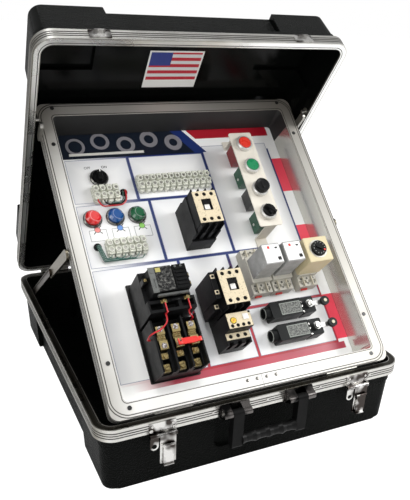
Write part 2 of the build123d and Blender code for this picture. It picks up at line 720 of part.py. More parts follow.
def latch_lever(side):
    """Lever plate with a barrel round the latch's pin and ears for the hook's pin"""
    middle = side * LATCH_X + LATCH_LEVER_SHIFT
    with BuildPart() as lever:
        with BuildSketch(Plane.YZ.offset(middle - LATCH_LEVER_WIDTH / 2)):
            with Locations((LATCH_PIN_Y, LATCH_PIN_Z)):
                Circle(LATCH_BARREL_RADIUS)
            with Locations((LEVER_Y + LATCH_LEVER_THICKNESS / 2, LATCH_PIN_Z - LATCH_LEVER_LENGTH / 2)):
                Rectangle(LATCH_LEVER_THICKNESS, LATCH_LEVER_LENGTH)
            with Locations((LATCH_PIN_Y, LATCH_PIN_Z)):
                Circle(LATCH_PIN_RADIUS + HINGE_RUNNING, mode=Mode.SUBTRACT)
        extrude(amount=LATCH_LEVER_WIDTH)
        ear_start = LATCH_HOOK_WIDTH / 2 + LATCH_GAP
        for ear in SIDES:
            with BuildSketch(Plane.YZ.offset(middle + ear * ear_start)):
                with Locations((HOOK_PIN_Y, HOOK_PIN_Z)):
                    Circle(LATCH_HOOK_BARREL_RADIUS)
                with Locations(((HOOK_PIN_Y + LEVER_Y) / 2, HOOK_PIN_Z)):
                    Rectangle(LEVER_Y - HOOK_PIN_Y, 2 * LATCH_HOOK_BARREL_RADIUS)
            extrude(amount=ear * LATCH_HOOK_EAR)
        with BuildSketch(Plane.YZ.offset(middle - ear_start)):
            with Locations((HOOK_PIN_Y, HOOK_PIN_Z)):
                Circle(LATCH_HOOK_PIN_RADIUS)
        extrude(amount=2 * ear_start)
    return lever


def latch_hook(side):
    """Hook plate pinned to the lever and hanging in front of it, its lip turned out"""
    middle = side * LATCH_X + LATCH_LEVER_SHIFT
    with BuildPart() as hook:
        with BuildSketch(Plane.YZ.offset(middle - LATCH_HOOK_WIDTH / 2)):
            with Locations((HOOK_PIN_Y, HOOK_PIN_Z - LATCH_HOOK_LENGTH / 2)):
                Rectangle(LATCH_HOOK_THICKNESS, LATCH_HOOK_LENGTH)
            lip_middle = HOOK_PIN_Y - (LATCH_HOOK_LIP - LATCH_HOOK_THICKNESS) / 2
            with Locations((lip_middle, HOOK_PIN_Z - LATCH_HOOK_LENGTH)):
                Rectangle(LATCH_HOOK_LIP, LATCH_HOOK_THICKNESS)
            with Locations((HOOK_PIN_Y, HOOK_PIN_Z)):
                Circle(LATCH_HOOK_BARREL_RADIUS)
                Circle(LATCH_HOOK_PIN_RADIUS + HINGE_RUNNING, mode=Mode.SUBTRACT)
        extrude(amount=LATCH_HOOK_WIDTH)
    return hook


with BuildPart() as latch_plates:
    for side in SIDES:
        middle = side * LATCH_X
        plate_height = LATCH_PLATE_TOP - LATCH_PIN_Z
        with BuildSketch(FRONT.offset(-BAND_FACE_Y)):
            with Locations((middle, LATCH_PIN_Z + plate_height / 2)):
                Rectangle(LATCH_PLATE_WIDTH, plate_height)
        extrude(amount=LATCH_PLATE_THICKNESS)
        for ear in SIDES:
            lever_edge = middle + LATCH_LEVER_SHIFT + ear * (LATCH_LEVER_WIDTH / 2 + LATCH_GAP)
            plate_edge = middle + ear * LATCH_PLATE_WIDTH / 2
            with BuildSketch(Plane.YZ.offset(lever_edge)):
                with Locations((LATCH_PIN_Y, LATCH_PIN_Z)):
                    Circle(LATCH_BARREL_RADIUS)
                with Locations((BAND_FACE_Y - LATCH_PIN_OUT / 2, LATCH_PIN_Z + LATCH_BARREL_RADIUS / 2)):
                    Rectangle(LATCH_PIN_OUT, LATCH_BARREL_RADIUS)
            extrude(amount=plate_edge - lever_edge)
        with BuildSketch(Plane.YZ.offset(middle - LATCH_PLATE_WIDTH / 2)):
            with Locations((LATCH_PIN_Y, LATCH_PIN_Z)):
                Circle(LATCH_PIN_RADIUS)
        extrude(amount=LATCH_PLATE_WIDTH)
        with BuildSketch(FRONT.offset(-LATCH_PIN_Y)):
            eye_x = middle - LATCH_PLATE_WIDTH / 2 + LATCH_EYE_RADIUS
            with Locations((eye_x, LATCH_PIN_Z - LATCH_BARREL_RADIUS - LATCH_EYE_RADIUS)):
                SlotCenterToCenter(LATCH_EYE_RADIUS * 2, LATCH_EYE_RADIUS * 2, rotation=90)
            with Locations((eye_x, LATCH_PIN_Z - LATCH_BARREL_RADIUS - 2 * LATCH_EYE_RADIUS)):
                Circle(LATCH_EYE_HOLE_RADIUS, mode=Mode.SUBTRACT)
        extrude(amount=LATCH_PLATE_THICKNESS)
save(latch_plates, "latch_plates")

for side, name in zip(SIDES, ("left", "right")):
    save(latch_lever(side), f"latch_lever_{name}")
    save(latch_hook(side), f"latch_hook_{name}")

LID_FREE_Y = -CASE_DEPTH / 2
with BuildPart() as lid_strikes:
    for side in SIDES:
        strike = Plane(
            origin=LID_RIM.from_local_coords((side * LATCH_X, LID_FREE_Y, BAND_HEIGHT / 2)),
            x_dir=(1, 0, 0),
            z_dir=-LID_RIM.y_dir,
        )
        with BuildSketch(strike):
            RectangleRounded(STRIKE_WIDTH, STRIKE_HEIGHT, STRIKE_THICKNESS)
        extrude(amount=STRIKE_THICKNESS)
        with BuildSketch(strike.offset(STRIKE_THICKNESS)):
            with Locations((0, STRIKE_LIP_UP)):
                Rectangle(STRIKE_LIP_WIDTH, STRIKE_THICKNESS)
        extrude(amount=STRIKE_LIP)
save(lid_strikes, "lid_strikes")


# Tray stays: a channel pinned to the base and a sleeve pinned to the tray, side by side

STAY_TOP = TRAY.from_local_coords((0, STAY_TRAY_V, STAY_TRAY_W))
STAY_RUN = (STAY_TOP.Y - STAY_BASE_Y, STAY_TOP.Z - STAY_BASE_Z)
STAY_ANGLE = degrees(atan2(STAY_RUN[1], STAY_RUN[0]))
STAY_SPAN = hypot(*STAY_RUN)
STAY_STEP = (STAY_RUN[0] / STAY_SPAN, STAY_RUN[1] / STAY_SPAN)
SLEEVE_X = TRAY_WIDTH / 2 + STAY_SKIRT_GAP
ROD_X = SLEEVE_X + STAY_SLEEVE_THICKNESS + STAY_SIDE_GAP


def stay_point(from_base):
    """Point on the stay's line at a distance from its pin on the base"""
    return (STAY_BASE_Y + from_base * STAY_STEP[0], STAY_BASE_Z + from_base * STAY_STEP[1])


def stay_channel(side, x, thickness, width, start, end, pin_at, web_outside):
    """Pressed channel from start to end along the stay, with a hole for its pin"""
    middle = stay_point((start + end) / 2)
    with BuildSketch(Plane.YZ.offset(side * x)) as outline:
        with Locations(middle):
            SlotCenterToCenter(end - start, width, rotation=STAY_ANGLE)
        with Locations(stay_point(pin_at)):
            Circle(STAY_PIN_RADIUS + HINGE_RUNNING, mode=Mode.SUBTRACT)
    extrude(outline.sketch, amount=side * thickness)
    hollow_start = x if web_outside else x + STAY_CHANNEL_WALL
    with BuildSketch(Plane.YZ.offset(side * hollow_start)) as hollow:
        with Locations(middle):
            SlotCenterToCenter(end - start, width - 2 * STAY_CHANNEL_WALL, rotation=STAY_ANGLE)
    extrude(hollow.sketch, amount=side * (thickness - STAY_CHANNEL_WALL), mode=Mode.SUBTRACT)


with BuildPart() as stay_channels:
    for side in SIDES:
        end = STAY_ROD_LENGTH
        stay_channel(side, ROD_X, STAY_ROD_THICKNESS, STAY_ROD_WIDTH, 0, end, 0, False)
save(stay_channels, "stay_channels")

with BuildPart() as stay_sleeves:
    for side in SIDES:
        start = STAY_SPAN - STAY_SLEEVE_LENGTH
        stay_channel(
            side, SLEEVE_X, STAY_SLEEVE_THICKNESS, STAY_SLEEVE_WIDTH, start, STAY_SPAN, STAY_SPAN, True
        )
save(stay_sleeves, "stay_sleeves")

with BuildPart() as tray_fittings:
    for side in SIDES:
        add(hinge_leaf(TRAY_HINGE_TRAY, side * TRAY_HINGE_X, TRAY_PIN_BACK, 1, TRAY_PIN_BELOW - TRAY_LIP, False))
        with BuildSketch(Plane.YZ.offset(side * TRAY_WIDTH / 2)):
            with Locations((STAY_TOP.Y, STAY_TOP.Z)):
                Circle(STAY_PIN_RADIUS)
        extrude(amount=side * (STAY_SKIRT_GAP + STAY_SLEEVE_THICKNESS))
        with BuildSketch(Plane.YZ.offset(side * TRAY_WIDTH / 2)):
            with Locations((STAY_TOP.Y, STAY_TOP.Z)):
                Circle(STAY_HEAD_RADIUS)
        extrude(amount=side * (STAY_SKIRT_GAP - KNUCKLE_GAP))
save(tray_fittings, "tray_fittings")

BASE_INNER_X = SHELL_WIDTH / 2 - WALL
with BuildPart() as base_fittings:
    for side in SIDES:
        reach = BASE_INNER_Y - TRAY_PIN_Y
        add(hinge_leaf(TRAY_HINGE_BASE, side * TRAY_HINGE_X, reach, -1, HINGE_LEAF_DROP, True))
        with BuildSketch(Plane.YZ.offset(side * BASE_INNER_X)):
            with Locations((STAY_BASE_Y, STAY_BASE_Z)):
                Circle(STAY_PIN_RADIUS)
        extrude(amount=-side * (BASE_INNER_X - ROD_X))
        with BuildSketch(Plane.YZ.offset(side * BASE_INNER_X)):
            with Locations((STAY_BASE_Y, STAY_BASE_Z)):
                Circle(STAY_HEAD_RADIUS)
        extrude(amount=-side * (BASE_INNER_X - ROD_X - STAY_ROD_THICKNESS - KNUCKLE_GAP))
save(base_fittings, "base_fittings")


# Props on the tray's sides and the lid's studs that lean on them

PROP_TOP_V = PROP_V + PROP_WIDTH / 2
STUD_PLACE = TRAY.from_local_coords((0, PROP_TOP_V + PROP_STUD_GAP + PROP_STUD_RADIUS, PROP_STUD_W))
with BuildPart() as lid_props:
    for side in SIDES:
        skirt = Plane(
            origin=TRAY.from_local_coords((side * TRAY_WIDTH / 2, PROP_V, 0)),
            x_dir=TRAY.y_dir,
            z_dir=(side, 0, 0),
        )
        up = 1 if skirt.y_dir.Z > 0 else -1
        middle = up * (PROP_ABOVE - PROP_BELOW) / 2
        with BuildSketch(skirt):
            with Locations((0, middle)):
                SlotCenterToCenter(PROP_ABOVE + PROP_BELOW - PROP_WIDTH, PROP_WIDTH, rotation=90)
        extrude(amount=PROP_THICKNESS)
        with BuildSketch(skirt.offset(PROP_WALL)):
            with Locations((0, middle)):
                inner = PROP_WIDTH - 2 * PROP_WALL
                SlotCenterToCenter(PROP_ABOVE + PROP_BELOW - PROP_WIDTH, inner, rotation=90)
        extrude(amount=PROP_THICKNESS, mode=Mode.SUBTRACT)
save(lid_props, "lid_props")

with BuildPart() as lid_prop_studs:
    for side in SIDES:
        with BuildSketch(Plane.YZ.offset(side * BASE_INNER_X)):
            with Locations((STUD_PLACE.Y, STUD_PLACE.Z)):
                Circle(PROP_STUD_FLANGE_RADIUS)
        extrude(amount=-side * PROP_STUD_FLANGE)
        with BuildSketch(Plane.YZ.offset(side * BASE_INNER_X)):
            with Locations((STUD_PLACE.Y, STUD_PLACE.Z)):
                Circle(PROP_STUD_RADIUS)
        extrude(amount=-side * PROP_STUD_INTO)
save(lid_prop_studs, "lid_prop_studs")


# Operators that fit a round hole: bezel, neck, nut and contact block behind


def round_operators(plane, places, bezel_radius, bezel_height, bore_radius, sheet, depth):
    """Bezels with their necks through a sheet and nuts behind it"""
    with BuildPart() as part:
        with BuildSketch(plane):
            with Locations(*places):
                Circle(bezel_radius)
        extrude(amount=bezel_height)
        chamfer(part.edges().group_by(axis_of(plane))[-1], BEZEL_CHAMFER)
        with BuildSketch(plane):
            with Locations(*places):
                Circle(OPERATOR_NECK_RADIUS)
        extrude(amount=-depth)
        with BuildSketch(plane.offset(-sheet)):
            with Locations(*places):
                RegularPolygon(OPERATOR_NUT_RADIUS, NUT_SIDES)
        extrude(amount=-OPERATOR_NUT)
        with BuildSketch(plane.offset(TURN_GAP)):
            with Locations(*places):
                Circle(bore_radius)
        extrude(amount=bezel_height, mode=Mode.SUBTRACT)
    return part


def knob(plane, u, v, base_height):
    """Round knob with a skirt and a raised finger grip"""
    with BuildPart() as part:
        with BuildSketch(plane.offset(base_height)):
            with Locations((u, v)):
                Circle(KNOB_RADIUS)
        extrude(amount=KNOB_SKIRT)
        with BuildSketch(plane.offset(base_height + KNOB_SKIRT)):
            with Locations((u, v)):
                SlotOverall(2 * KNOB_RADIUS - KNOB_SKIRT, KNOB_GRIP_WIDTH, rotation=90)
        extrude(amount=KNOB_HEIGHT - KNOB_SKIRT)
        chamfer(part.edges().group_by(axis_of(plane))[-1], KNOB_CHAMFER)
    return part


OPERATORS_ON_PANEL = [(POWER_U, POWER_V), *LAMP_PLACES]
panel_operators = round_operators(
    PANEL, OPERATORS_ON_PANEL, BEZEL_RADIUS, BEZEL_HEIGHT, LENS_RADIUS, PANEL_THICKNESS, OPERATOR_DEPTH
)
save(panel_operators, "panel_operators")
power_knob = knob(PANEL, POWER_U, POWER_V, 2 * TURN_GAP)
save(power_knob, "power_knob")

with BuildPart() as lamp_lenses:
    with BuildSketch(PANEL.offset(2 * TURN_GAP)):
        with Locations(*LAMP_PLACES):
            Circle(LENS_RADIUS - PANEL_CLEARANCE)
    extrude(amount=LENS_HEIGHT + LENS_CROWN)
    chamfer(lamp_lenses.edges().group_by(axis_of(PANEL))[-1], LENS_CROWN)
save(lamp_lenses, "lamp_lenses")


# Clear terminal blocks


def terminal_block(u, v, ways):
    """Row of terminals: a low bar with two raised screw towers for each way"""
    row = [u + (index - (ways - 1) / 2) * BLOCK_PITCH for index in range(ways)]
    with BuildSketch(PANEL) as bar:
        with Locations((u, v)):
            Rectangle(ways * BLOCK_PITCH, BLOCK_DEPTH - BLOCK_TOWER)
    extrude(bar.sketch, amount=BLOCK_HEIGHT)
    towers = (BLOCK_DEPTH - BLOCK_TOWER_DEPTH) / 2
    with BuildSketch(PANEL) as pairs:
        for side in SIDES:
            with Locations(*[(place, v + side * towers) for place in row]):
                Rectangle(BLOCK_TOWER_WIDTH, BLOCK_TOWER_DEPTH)
    extrude(pairs.sketch, amount=BLOCK_HEIGHT + BLOCK_TOWER)


with BuildPart() as terminal_strip:
    terminal_block(STRIP_U, STRIP_V, STRIP_WAYS)
save(terminal_strip, "terminal_strip")

with BuildPart() as pigtail_terminals:
    terminal_block(POWER_BLOCK_U, POWER_BLOCK_V, POWER_BLOCK_WAYS)
    terminal_block(LAMP_BLOCK_U, LAMP_BLOCK_V, LAMP_BLOCK_WAYS)
save(pigtail_terminals, "pigtail_terminals")

with BuildPart() as grommets:
    with BuildSketch(PANEL):
        with Locations(POWER_GROMMET, LAMP_GROMMET):
            Circle(GROMMET_RADIUS)
            Circle(GROMMET_HOLE_RADIUS, mode=Mode.SUBTRACT)
    extrude(amount=GROMMET_HEIGHT)
    with BuildSketch(PANEL):
        with Locations(POWER_GROMMET, LAMP_GROMMET):
            Circle(GROMMET_PANEL_RADIUS)
            Circle(GROMMET_HOLE_RADIUS, mode=Mode.SUBTRACT)
    extrude(amount=-PANEL_THICKNESS)
save(grommets, "grommets")


# Modular contactors


def contactor(v):
    """Stepped body: wide foot, terminal shoulders and a narrower face with a plunger window"""
    with BuildPart() as body:
        with BuildSketch(PANEL):
            with Locations((CONTACTOR_U, v)):
                Rectangle(CONTACTOR_WIDTH, CONTACTOR_LENGTH)
        extrude(amount=CONTACTOR_BASE)
        with BuildSketch(PANEL.offset(CONTACTOR_BASE)):
            with Locations((CONTACTOR_U, v)):
                Rectangle(CONTACTOR_WIDTH, CONTACTOR_MID_LENGTH)
        extrude(amount=CONTACTOR_STEP - CONTACTOR_BASE)
        with BuildSketch(PANEL.offset(CONTACTOR_STEP)):
            with Locations((CONTACTOR_U, v)):
                Rectangle(CONTACTOR_FACE_WIDTH, CONTACTOR_FACE_LENGTH)
        extrude(amount=CONTACTOR_HEIGHT - CONTACTOR_STEP)
        pole = CONTACTOR_WIDTH / (POLES + 1)
        notch = (CONTACTOR_LENGTH - CONTACTOR_MID_LENGTH) / 2
        with BuildSketch(PANEL.offset(CONTACTOR_BASE)):
            for side in SIDES:
                for index in range(POLES):
                    place = CONTACTOR_U + (index - (POLES - 1) / 2) * (pole + notch)
                    with Locations((place, v + side * (CONTACTOR_MID_LENGTH - notch) / 2)):
                        Rectangle(pole - notch, 2 * notch)
        extrude(amount=CONTACTOR_STEP - CONTACTOR_BASE, mode=Mode.SUBTRACT)
        with BuildSketch(PANEL.offset(CONTACTOR_HEIGHT)):
            with Locations((CONTACTOR_U, v)):
                Rectangle(PLUNGER_WINDOW, PLUNGER_WINDOW)
        extrude(amount=-PLUNGER_WINDOW_DEPTH, mode=Mode.SUBTRACT)
        with BuildSketch(PANEL.offset(CONTACTOR_HEIGHT)):
            with Locations((CONTACTOR_U, v)):
                Rectangle(PLUNGER_SIZE + 2 * SLIDE_GAP, PLUNGER_SIZE + 2 * SLIDE_GAP)
        extrude(amount=-2 * PLUNGER_LENGTH, mode=Mode.SUBTRACT)
    return body


def plunger(v):
    with BuildPart() as part:
        with BuildSketch(PANEL.offset(CONTACTOR_HEIGHT - PLUNGER_PROUD)):
            with Locations((CONTACTOR_U, v)):
                Rectangle(PLUNGER_SIZE, PLUNGER_SIZE)
        extrude(amount=-PLUNGER_LENGTH)
    return part


for place, name in zip(CONTACTOR_V, ("contactor", "starter_contactor")):
    save(contactor(place), name)
    save(plunger(place), f"{name}_plunger")

RELAY_V = CONTACTOR_V[1] - CONTACTOR_LENGTH / 2 - RELAY_GAP - RELAY_LENGTH / 2
RELAY_FACE_V = RELAY_V + (RELAY_LENGTH - RELAY_FACE_LENGTH) / 2
with BuildPart() as overload_relay:
    with BuildSketch(PANEL):
        with Locations((CONTACTOR_U, RELAY_V)):
            Rectangle(RELAY_WIDTH, RELAY_LENGTH)
    extrude(amount=RELAY_HEIGHT)
    with BuildSketch(PANEL.offset(RELAY_HEIGHT)):
        with Locations((CONTACTOR_U, RELAY_FACE_V)):
            Rectangle(RELAY_WIDTH, RELAY_FACE_LENGTH)
    extrude(amount=RELAY_FACE_HEIGHT - RELAY_HEIGHT)
    with BuildSketch(PANEL.offset(RELAY_HEIGHT)):
        for index in range(POLES):
            place = CONTACTOR_U + (index - (POLES - 1) / 2) * RELAY_WIDTH / POLES
            with Locations((place, RELAY_V - RELAY_LENGTH / 2)):
                Rectangle(RELAY_PORT_WIDTH, RELAY_PORT_LENGTH)
    extrude(amount=-RELAY_PORT_DEPTH, mode=Mode.SUBTRACT)
save(overload_relay, "overload_relay")

DIAL_U = CONTACTOR_U - RELAY_WIDTH / 4
with BuildPart() as overload_dial:
    with BuildSketch(PANEL.offset(RELAY_FACE_HEIGHT + SLIDE_GAP)):
        with Locations((DIAL_U, RELAY_FACE_V)):
            Circle(RELAY_DIAL_RADIUS)
    extrude(amount=RELAY_DIAL_HEIGHT)
    with BuildSketch(PANEL.offset(RELAY_FACE_HEIGHT + SLIDE_GAP + RELAY_DIAL_HEIGHT)):
        with Locations((DIAL_U, RELAY_FACE_V)):
            Rectangle(RELAY_SLOT_LENGTH, RELAY_SLOT_DEPTH, rotation=RELAY_DIAL_TURN)
    extrude(amount=-RELAY_SLOT_DEPTH, mode=Mode.SUBTRACT)
save(overload_dial, "overload_dial")


# Large starter: plate, contact block, overload block with three heaters, reset bar

HEATER_PITCH = MAGNET_WIDTH / POLES
HEATER_U = [STARTER_U + (index - (POLES - 1) / 2) * HEATER_PITCH for index in range(POLES)]
with BuildPart() as starter_plate:
    with BuildSketch(PANEL):
        with Locations((STARTER_U, STARTER_V)):
            RectangleRounded(STARTER_WIDTH, STARTER_LENGTH, STARTER_PLATE)
    extrude(amount=STARTER_PLATE)
save(starter_plate, "starter_plate")

with BuildPart() as starter_block:
    with BuildSketch(PANEL.offset(STARTER_PLATE)):
        with Locations((STARTER_U, MAGNET_V)):
            Rectangle(MAGNET_WIDTH, MAGNET_LENGTH)
    extrude(amount=MAGNET_SHOULDER - STARTER_PLATE)
    with BuildSketch(PANEL.offset(MAGNET_SHOULDER)):
        with Locations((STARTER_U, MAGNET_V)):
            Rectangle(MAGNET_WIDTH - PLUNGER_WINDOW, MAGNET_LENGTH - PLUNGER_SIZE)
    extrude(amount=MAGNET_HEIGHT - MAGNET_SHOULDER, taper=BLOCK_DRAFT / 2)
    with BuildSketch(PANEL.offset(STARTER_PLATE)):
        with Locations((STARTER_U, CROSSBAR_V)):
            Rectangle(MAGNET_WIDTH, CROSSBAR_LENGTH)
    extrude(amount=CROSSBAR_HEIGHT - STARTER_PLATE)
    with BuildSketch(PANEL.offset(CROSSBAR_HEIGHT)):
        with Locations(*[(place, CROSSBAR_V) for place in HEATER_U]):
            Rectangle(HEATER_PITCH - 2 * HEATER_BARRIER, CROSSBAR_LENGTH / 2)
    extrude(amount=-HEATER_BARRIER_HEIGHT, mode=Mode.SUBTRACT)
save(starter_block, "starter_block")

with BuildPart() as starter_overload:
    with BuildSketch(PANEL.offset(STARTER_PLATE)):
        with Locations((STARTER_U, HEATER_BLOCK_V)):
            Rectangle(MAGNET_WIDTH, HEATER_BLOCK_LENGTH)
    extrude(amount=HEATER_BLOCK_HEIGHT - STARTER_PLATE)
    with BuildSketch(PANEL.offset(HEATER_BLOCK_HEIGHT)):
        for index in range(POLES + 1):
            edge = MAGNET_WIDTH - HEATER_BARRIER
            with Locations((STARTER_U + (index - POLES / 2) * edge / POLES, HEATER_BLOCK_V)):
                Rectangle(HEATER_BARRIER, HEATER_BLOCK_LENGTH)
    extrude(amount=HEATER_BARRIER_HEIGHT)
    with BuildSketch(PANEL.offset(HEATER_BLOCK_HEIGHT)):
        with Locations(*[(place, LUG_V) for place in HEATER_U]):
            Rectangle(LUG_SIZE + HEATER_BARRIER, LUG_SIZE * 2)
    extrude(amount=-HEATER_BARRIER_HEIGHT, mode=Mode.SUBTRACT)
    with BuildSketch(PANEL.offset(HEATER_BLOCK_HEIGHT - HEATER_BARRIER_HEIGHT)):
        with Locations((RESET_U, RESET_V)):
            Rectangle(RESET_STEM + 2 * SLIDE_GAP, RESET_STEM + 2 * SLIDE_GAP)
    extrude(amount=2 * HEATER_BARRIER_HEIGHT, mode=Mode.SUBTRACT)
save(starter_overload, "starter_overload")

LUG_BASE = HEATER_BLOCK_HEIGHT - HEATER_BARRIER_HEIGHT
HEATER_PROFILE = Plane(
    origin=PANEL.from_local_coords((0, HEATER_V, HEATER_BLOCK_HEIGHT)), x_dir=PANEL.y_dir, z_dir=(1, 0, 0)
)
with BuildPart() as starter_heaters:
    for place in HEATER_U:
        with BuildSketch(HEATER_PROFILE.offset(place - HEATER_WIDTH / 2)):
            end = HEATER_LENGTH / 2
            step = end - HEATER_PLATE
            low = HEATER_HEIGHT - HEATER_DIP
            with BuildLine():
                FilletPolyline(
                    (-end, 0),
                    (-end, HEATER_HEIGHT),
                    (-step, HEATER_HEIGHT),
                    (-step, low),
                    (step, low),
                    (step, HEATER_HEIGHT),
                    (end, HEATER_HEIGHT),
                    (end, 0),
                    radius=HEATER_STRAP / 2,
                )
            trace(line_width=HEATER_STRAP)
        extrude(amount=HEATER_WIDTH)
        with BuildSketch(PANEL.offset(LUG_BASE)):
            with Locations((place, LUG_V)):
                Rectangle(LUG_SIZE, LUG_SIZE)
        extrude(amount=LUG_HEIGHT)
save(starter_heaters, "starter_heaters")

with BuildPart() as reset_bar:
    with BuildSketch(PANEL.offset(RESET_TOP)):
        with Locations((RESET_U, RESET_V)):
            RectangleRounded(RESET_WIDTH, RESET_LENGTH, RESET_LENGTH / 4)
    extrude(amount=-RESET_BAR)
    with BuildSketch(PANEL.offset(RESET_TOP - RESET_BAR)):
        with Locations((RESET_U, RESET_V)):
            Rectangle(RESET_STEM, RESET_STEM)
    extrude(amount=HEATER_BLOCK_HEIGHT - RESET_STEM_INTO + RESET_BAR - RESET_TOP)
save(reset_bar, "reset_bar")


# Relay sockets, two relays and a timer

with BuildPart() as relay_sockets:
    for u in SOCKET_U:
        with BuildSketch(PANEL):
            with Locations((u, SOCKET_V)):
                Rectangle(SOCKET_WIDTH, SOCKET_LENGTH)
        extrude(amount=SOCKET_HEIGHT)
        with BuildSketch(PANEL.offset(SOCKET_HEIGHT)):
            with Locations((u, SOCKET_V)):
                Rectangle(SOCKET_WIDTH, SOCKET_CORE_LENGTH)
        extrude(amount=SOCKET_CORE - SOCKET_HEIGHT)
        step = (SOCKET_LENGTH + SOCKET_CORE_LENGTH) / 4
        with BuildSketch(PANEL.offset(SOCKET_HEIGHT)):
            for side in SIDES:
                for index in range(POLES + 1):
                    place = u + (index - POLES / 2) * SOCKET_WIDTH / (POLES + 1)
                    with Locations((place, SOCKET_V + side * step)):
                        Rectangle(2 * BLOCK_SCREW_RADIUS, 2 * BLOCK_SCREW_RADIUS)
        extrude(amount=-BLOCK_SCREW_RADIUS, mode=Mode.SUBTRACT)
save(relay_sockets, "relay_sockets")


def relay_case(u, width, length, height):
    """Plug-in case with softened upright corners"""
    with BuildSketch(PANEL.offset(SOCKET_CORE)) as case:
        with Locations((u, SOCKET_V)):
            RectangleRounded(width, length, RELAY_CASE_CORNER)
    extrude(case.sketch, amount=height)


with BuildPart() as relays:
    for u in SOCKET_U[:2]:
        relay_case(u, RELAY_CASE_WIDTH, RELAY_CASE_LENGTH, RELAY_CASE_HEIGHT)
save(relays, "relays")

with BuildPart() as timer:
    relay_case(SOCKET_U[2], TIMER_WIDTH, TIMER_LENGTH, TIMER_HEIGHT)
save(timer, "timer")

TIMER_TOP = SOCKET_CORE + TIMER_HEIGHT
with BuildPart() as timer_dial:
    with BuildSketch(PANEL.offset(TIMER_TOP + SLIDE_GAP)):
        with Locations((SOCKET_U[2], SOCKET_V)):
            Circle(TIMER_DIAL_RADIUS)
    extrude(amount=TIMER_DIAL_HEIGHT)
    with BuildSketch(PANEL.offset(TIMER_TOP + SLIDE_GAP + TIMER_DIAL_HEIGHT)):
        with Locations((SOCKET_U[2], SOCKET_V)):
            SlotOverall(TIMER_DIAL_RADIUS, KNOB_GRIP_WIDTH / 2, rotation=TIMER_DIAL_TURN)
    extrude(amount=TIMER_DIAL_HEIGHT / 2)
save(timer_dial, "timer_dial")


# Push-button station on a raised channel

STATION = PANEL.offset(STATION_HEIGHT)
OPERATOR_V = [STATION_V - (index - (OPERATORS - 1) / 2) * OPERATOR_PITCH for index in range(OPERATORS)]
OPERATOR_PLACES = [(STATION_U, v) for v in OPERATOR_V]

with BuildPart() as station_plate:
    with BuildSketch(STATION):
        with Locations((STATION_U, STATION_V)):
            RectangleRounded(STATION_WIDTH, STATION_LENGTH, STATION_CORNER)
        with Locations(*OPERATOR_PLACES):
            Circle(MOUNT_HOLE_RADIUS, mode=Mode.SUBTRACT)
    extrude(amount=-STATION_THICKNESS)
    for side in SIDES:
        with BuildSketch(PANEL):
            with Locations((STATION_U, STATION_V + side * (STATION_LENGTH - STATION_THICKNESS) / 2)):
                Rectangle(STATION_LEG_WIDTH, STATION_THICKNESS)
        extrude(amount=STATION_HEIGHT - STATION_THICKNESS)
        with BuildSketch(PANEL):
            with Locations((STATION_U, STATION_V + side * (STATION_LENGTH + STATION_FOOT) / 2)):
                Rectangle(STATION_LEG_WIDTH, STATION_FOOT)
        extrude(amount=STATION_THICKNESS)
save(station_plate, "station_plate")

button_bezels = round_operators(
    STATION,
    OPERATOR_PLACES,
    STATION_BEZEL_RADIUS,
    STATION_BEZEL_HEIGHT,
    BEZEL_BORE_RADIUS,
    STATION_THICKNESS,
    CONTACT_DEPTH,
)
save(button_bezels, "button_bezels")

with BuildPart() as contact_blocks:
    with BuildSketch(STATION.offset(-CONTACT_DEPTH)):
        with Locations(*OPERATOR_PLACES):
            Rectangle(CONTACT_WIDTH, CONTACT_LENGTH)
    extrude(amount=-CONTACT_HEIGHT)
save(contact_blocks, "contact_blocks")


def push_button(u, v):
    """Cap that slides in the bezel's bore"""
    with BuildPart() as part:
        with BuildSketch(STATION.offset(TURN_GAP + BUTTON_TRAVEL + SLIDE_GAP)):
            with Locations((u, v)):
                Circle(BUTTON_RADIUS)
        extrude(amount=BUTTON_HEIGHT)
        chamfer(part.edges().group_by(axis_of(STATION))[-1], BUTTON_ROUND)
    return part


red_button = push_button(*OPERATOR_PLACES[0])
save(red_button, "red_button")
green_button = push_button(*OPERATOR_PLACES[1])
save(green_button, "green_button")
black_knob = knob(STATION, *OPERATOR_PLACES[2], 2 * TURN_GAP)
save(black_knob, "black_knob")
selector_knob = knob(STATION, *OPERATOR_PLACES[3], 2 * TURN_GAP)
save(selector_knob, "selector_knob")


# Limit switches with a roller lever on the head's face

HUB_U = LIMIT_U + LIMIT_LENGTH / 2 + LIMIT_HEAD_LENGTH / 2
with BuildPart() as limit_switches:
    for v in LIMIT_V:
        with BuildSketch(PANEL):
            with Locations((LIMIT_U, v)):
                RectangleRounded(LIMIT_LENGTH, LIMIT_WIDTH, LIMIT_CORNER)
        extrude(amount=LIMIT_HEIGHT)
        with BuildSketch(PANEL):
            with Locations((HUB_U, v)):
                RectangleRounded(LIMIT_HEAD_LENGTH, LIMIT_WIDTH, LIMIT_CORNER)
        extrude(amount=LIMIT_HEAD_HEIGHT)
        start = PANEL.from_local_coords((LIMIT_U - LIMIT_LENGTH / 2, v, LIMIT_HEIGHT / 2))
        with BuildSketch(Plane(origin=start, x_dir=PANEL.y_dir, z_dir=(-1, 0, 0))):
            Circle(LIMIT_CONDUIT_RADIUS)
            Circle(LIMIT_CONDUIT_RADIUS - LIMIT_CONDUIT_WALL, mode=Mode.SUBTRACT)
        extrude(amount=LIMIT_CONDUIT_LENGTH)
        with BuildSketch(PANEL.offset(LIMIT_HEAD_HEIGHT)):
            with Locations((HUB_U, v)):
                Circle(LIMIT_SHAFT_RADIUS)
        extrude(amount=LIMIT_SHAFT_LENGTH)
save(limit_switches, "limit_switches")

LEVER_BASE = LIMIT_HEAD_HEIGHT + SLIDE_GAP
ROLLER_U = HUB_U + LIMIT_ARM


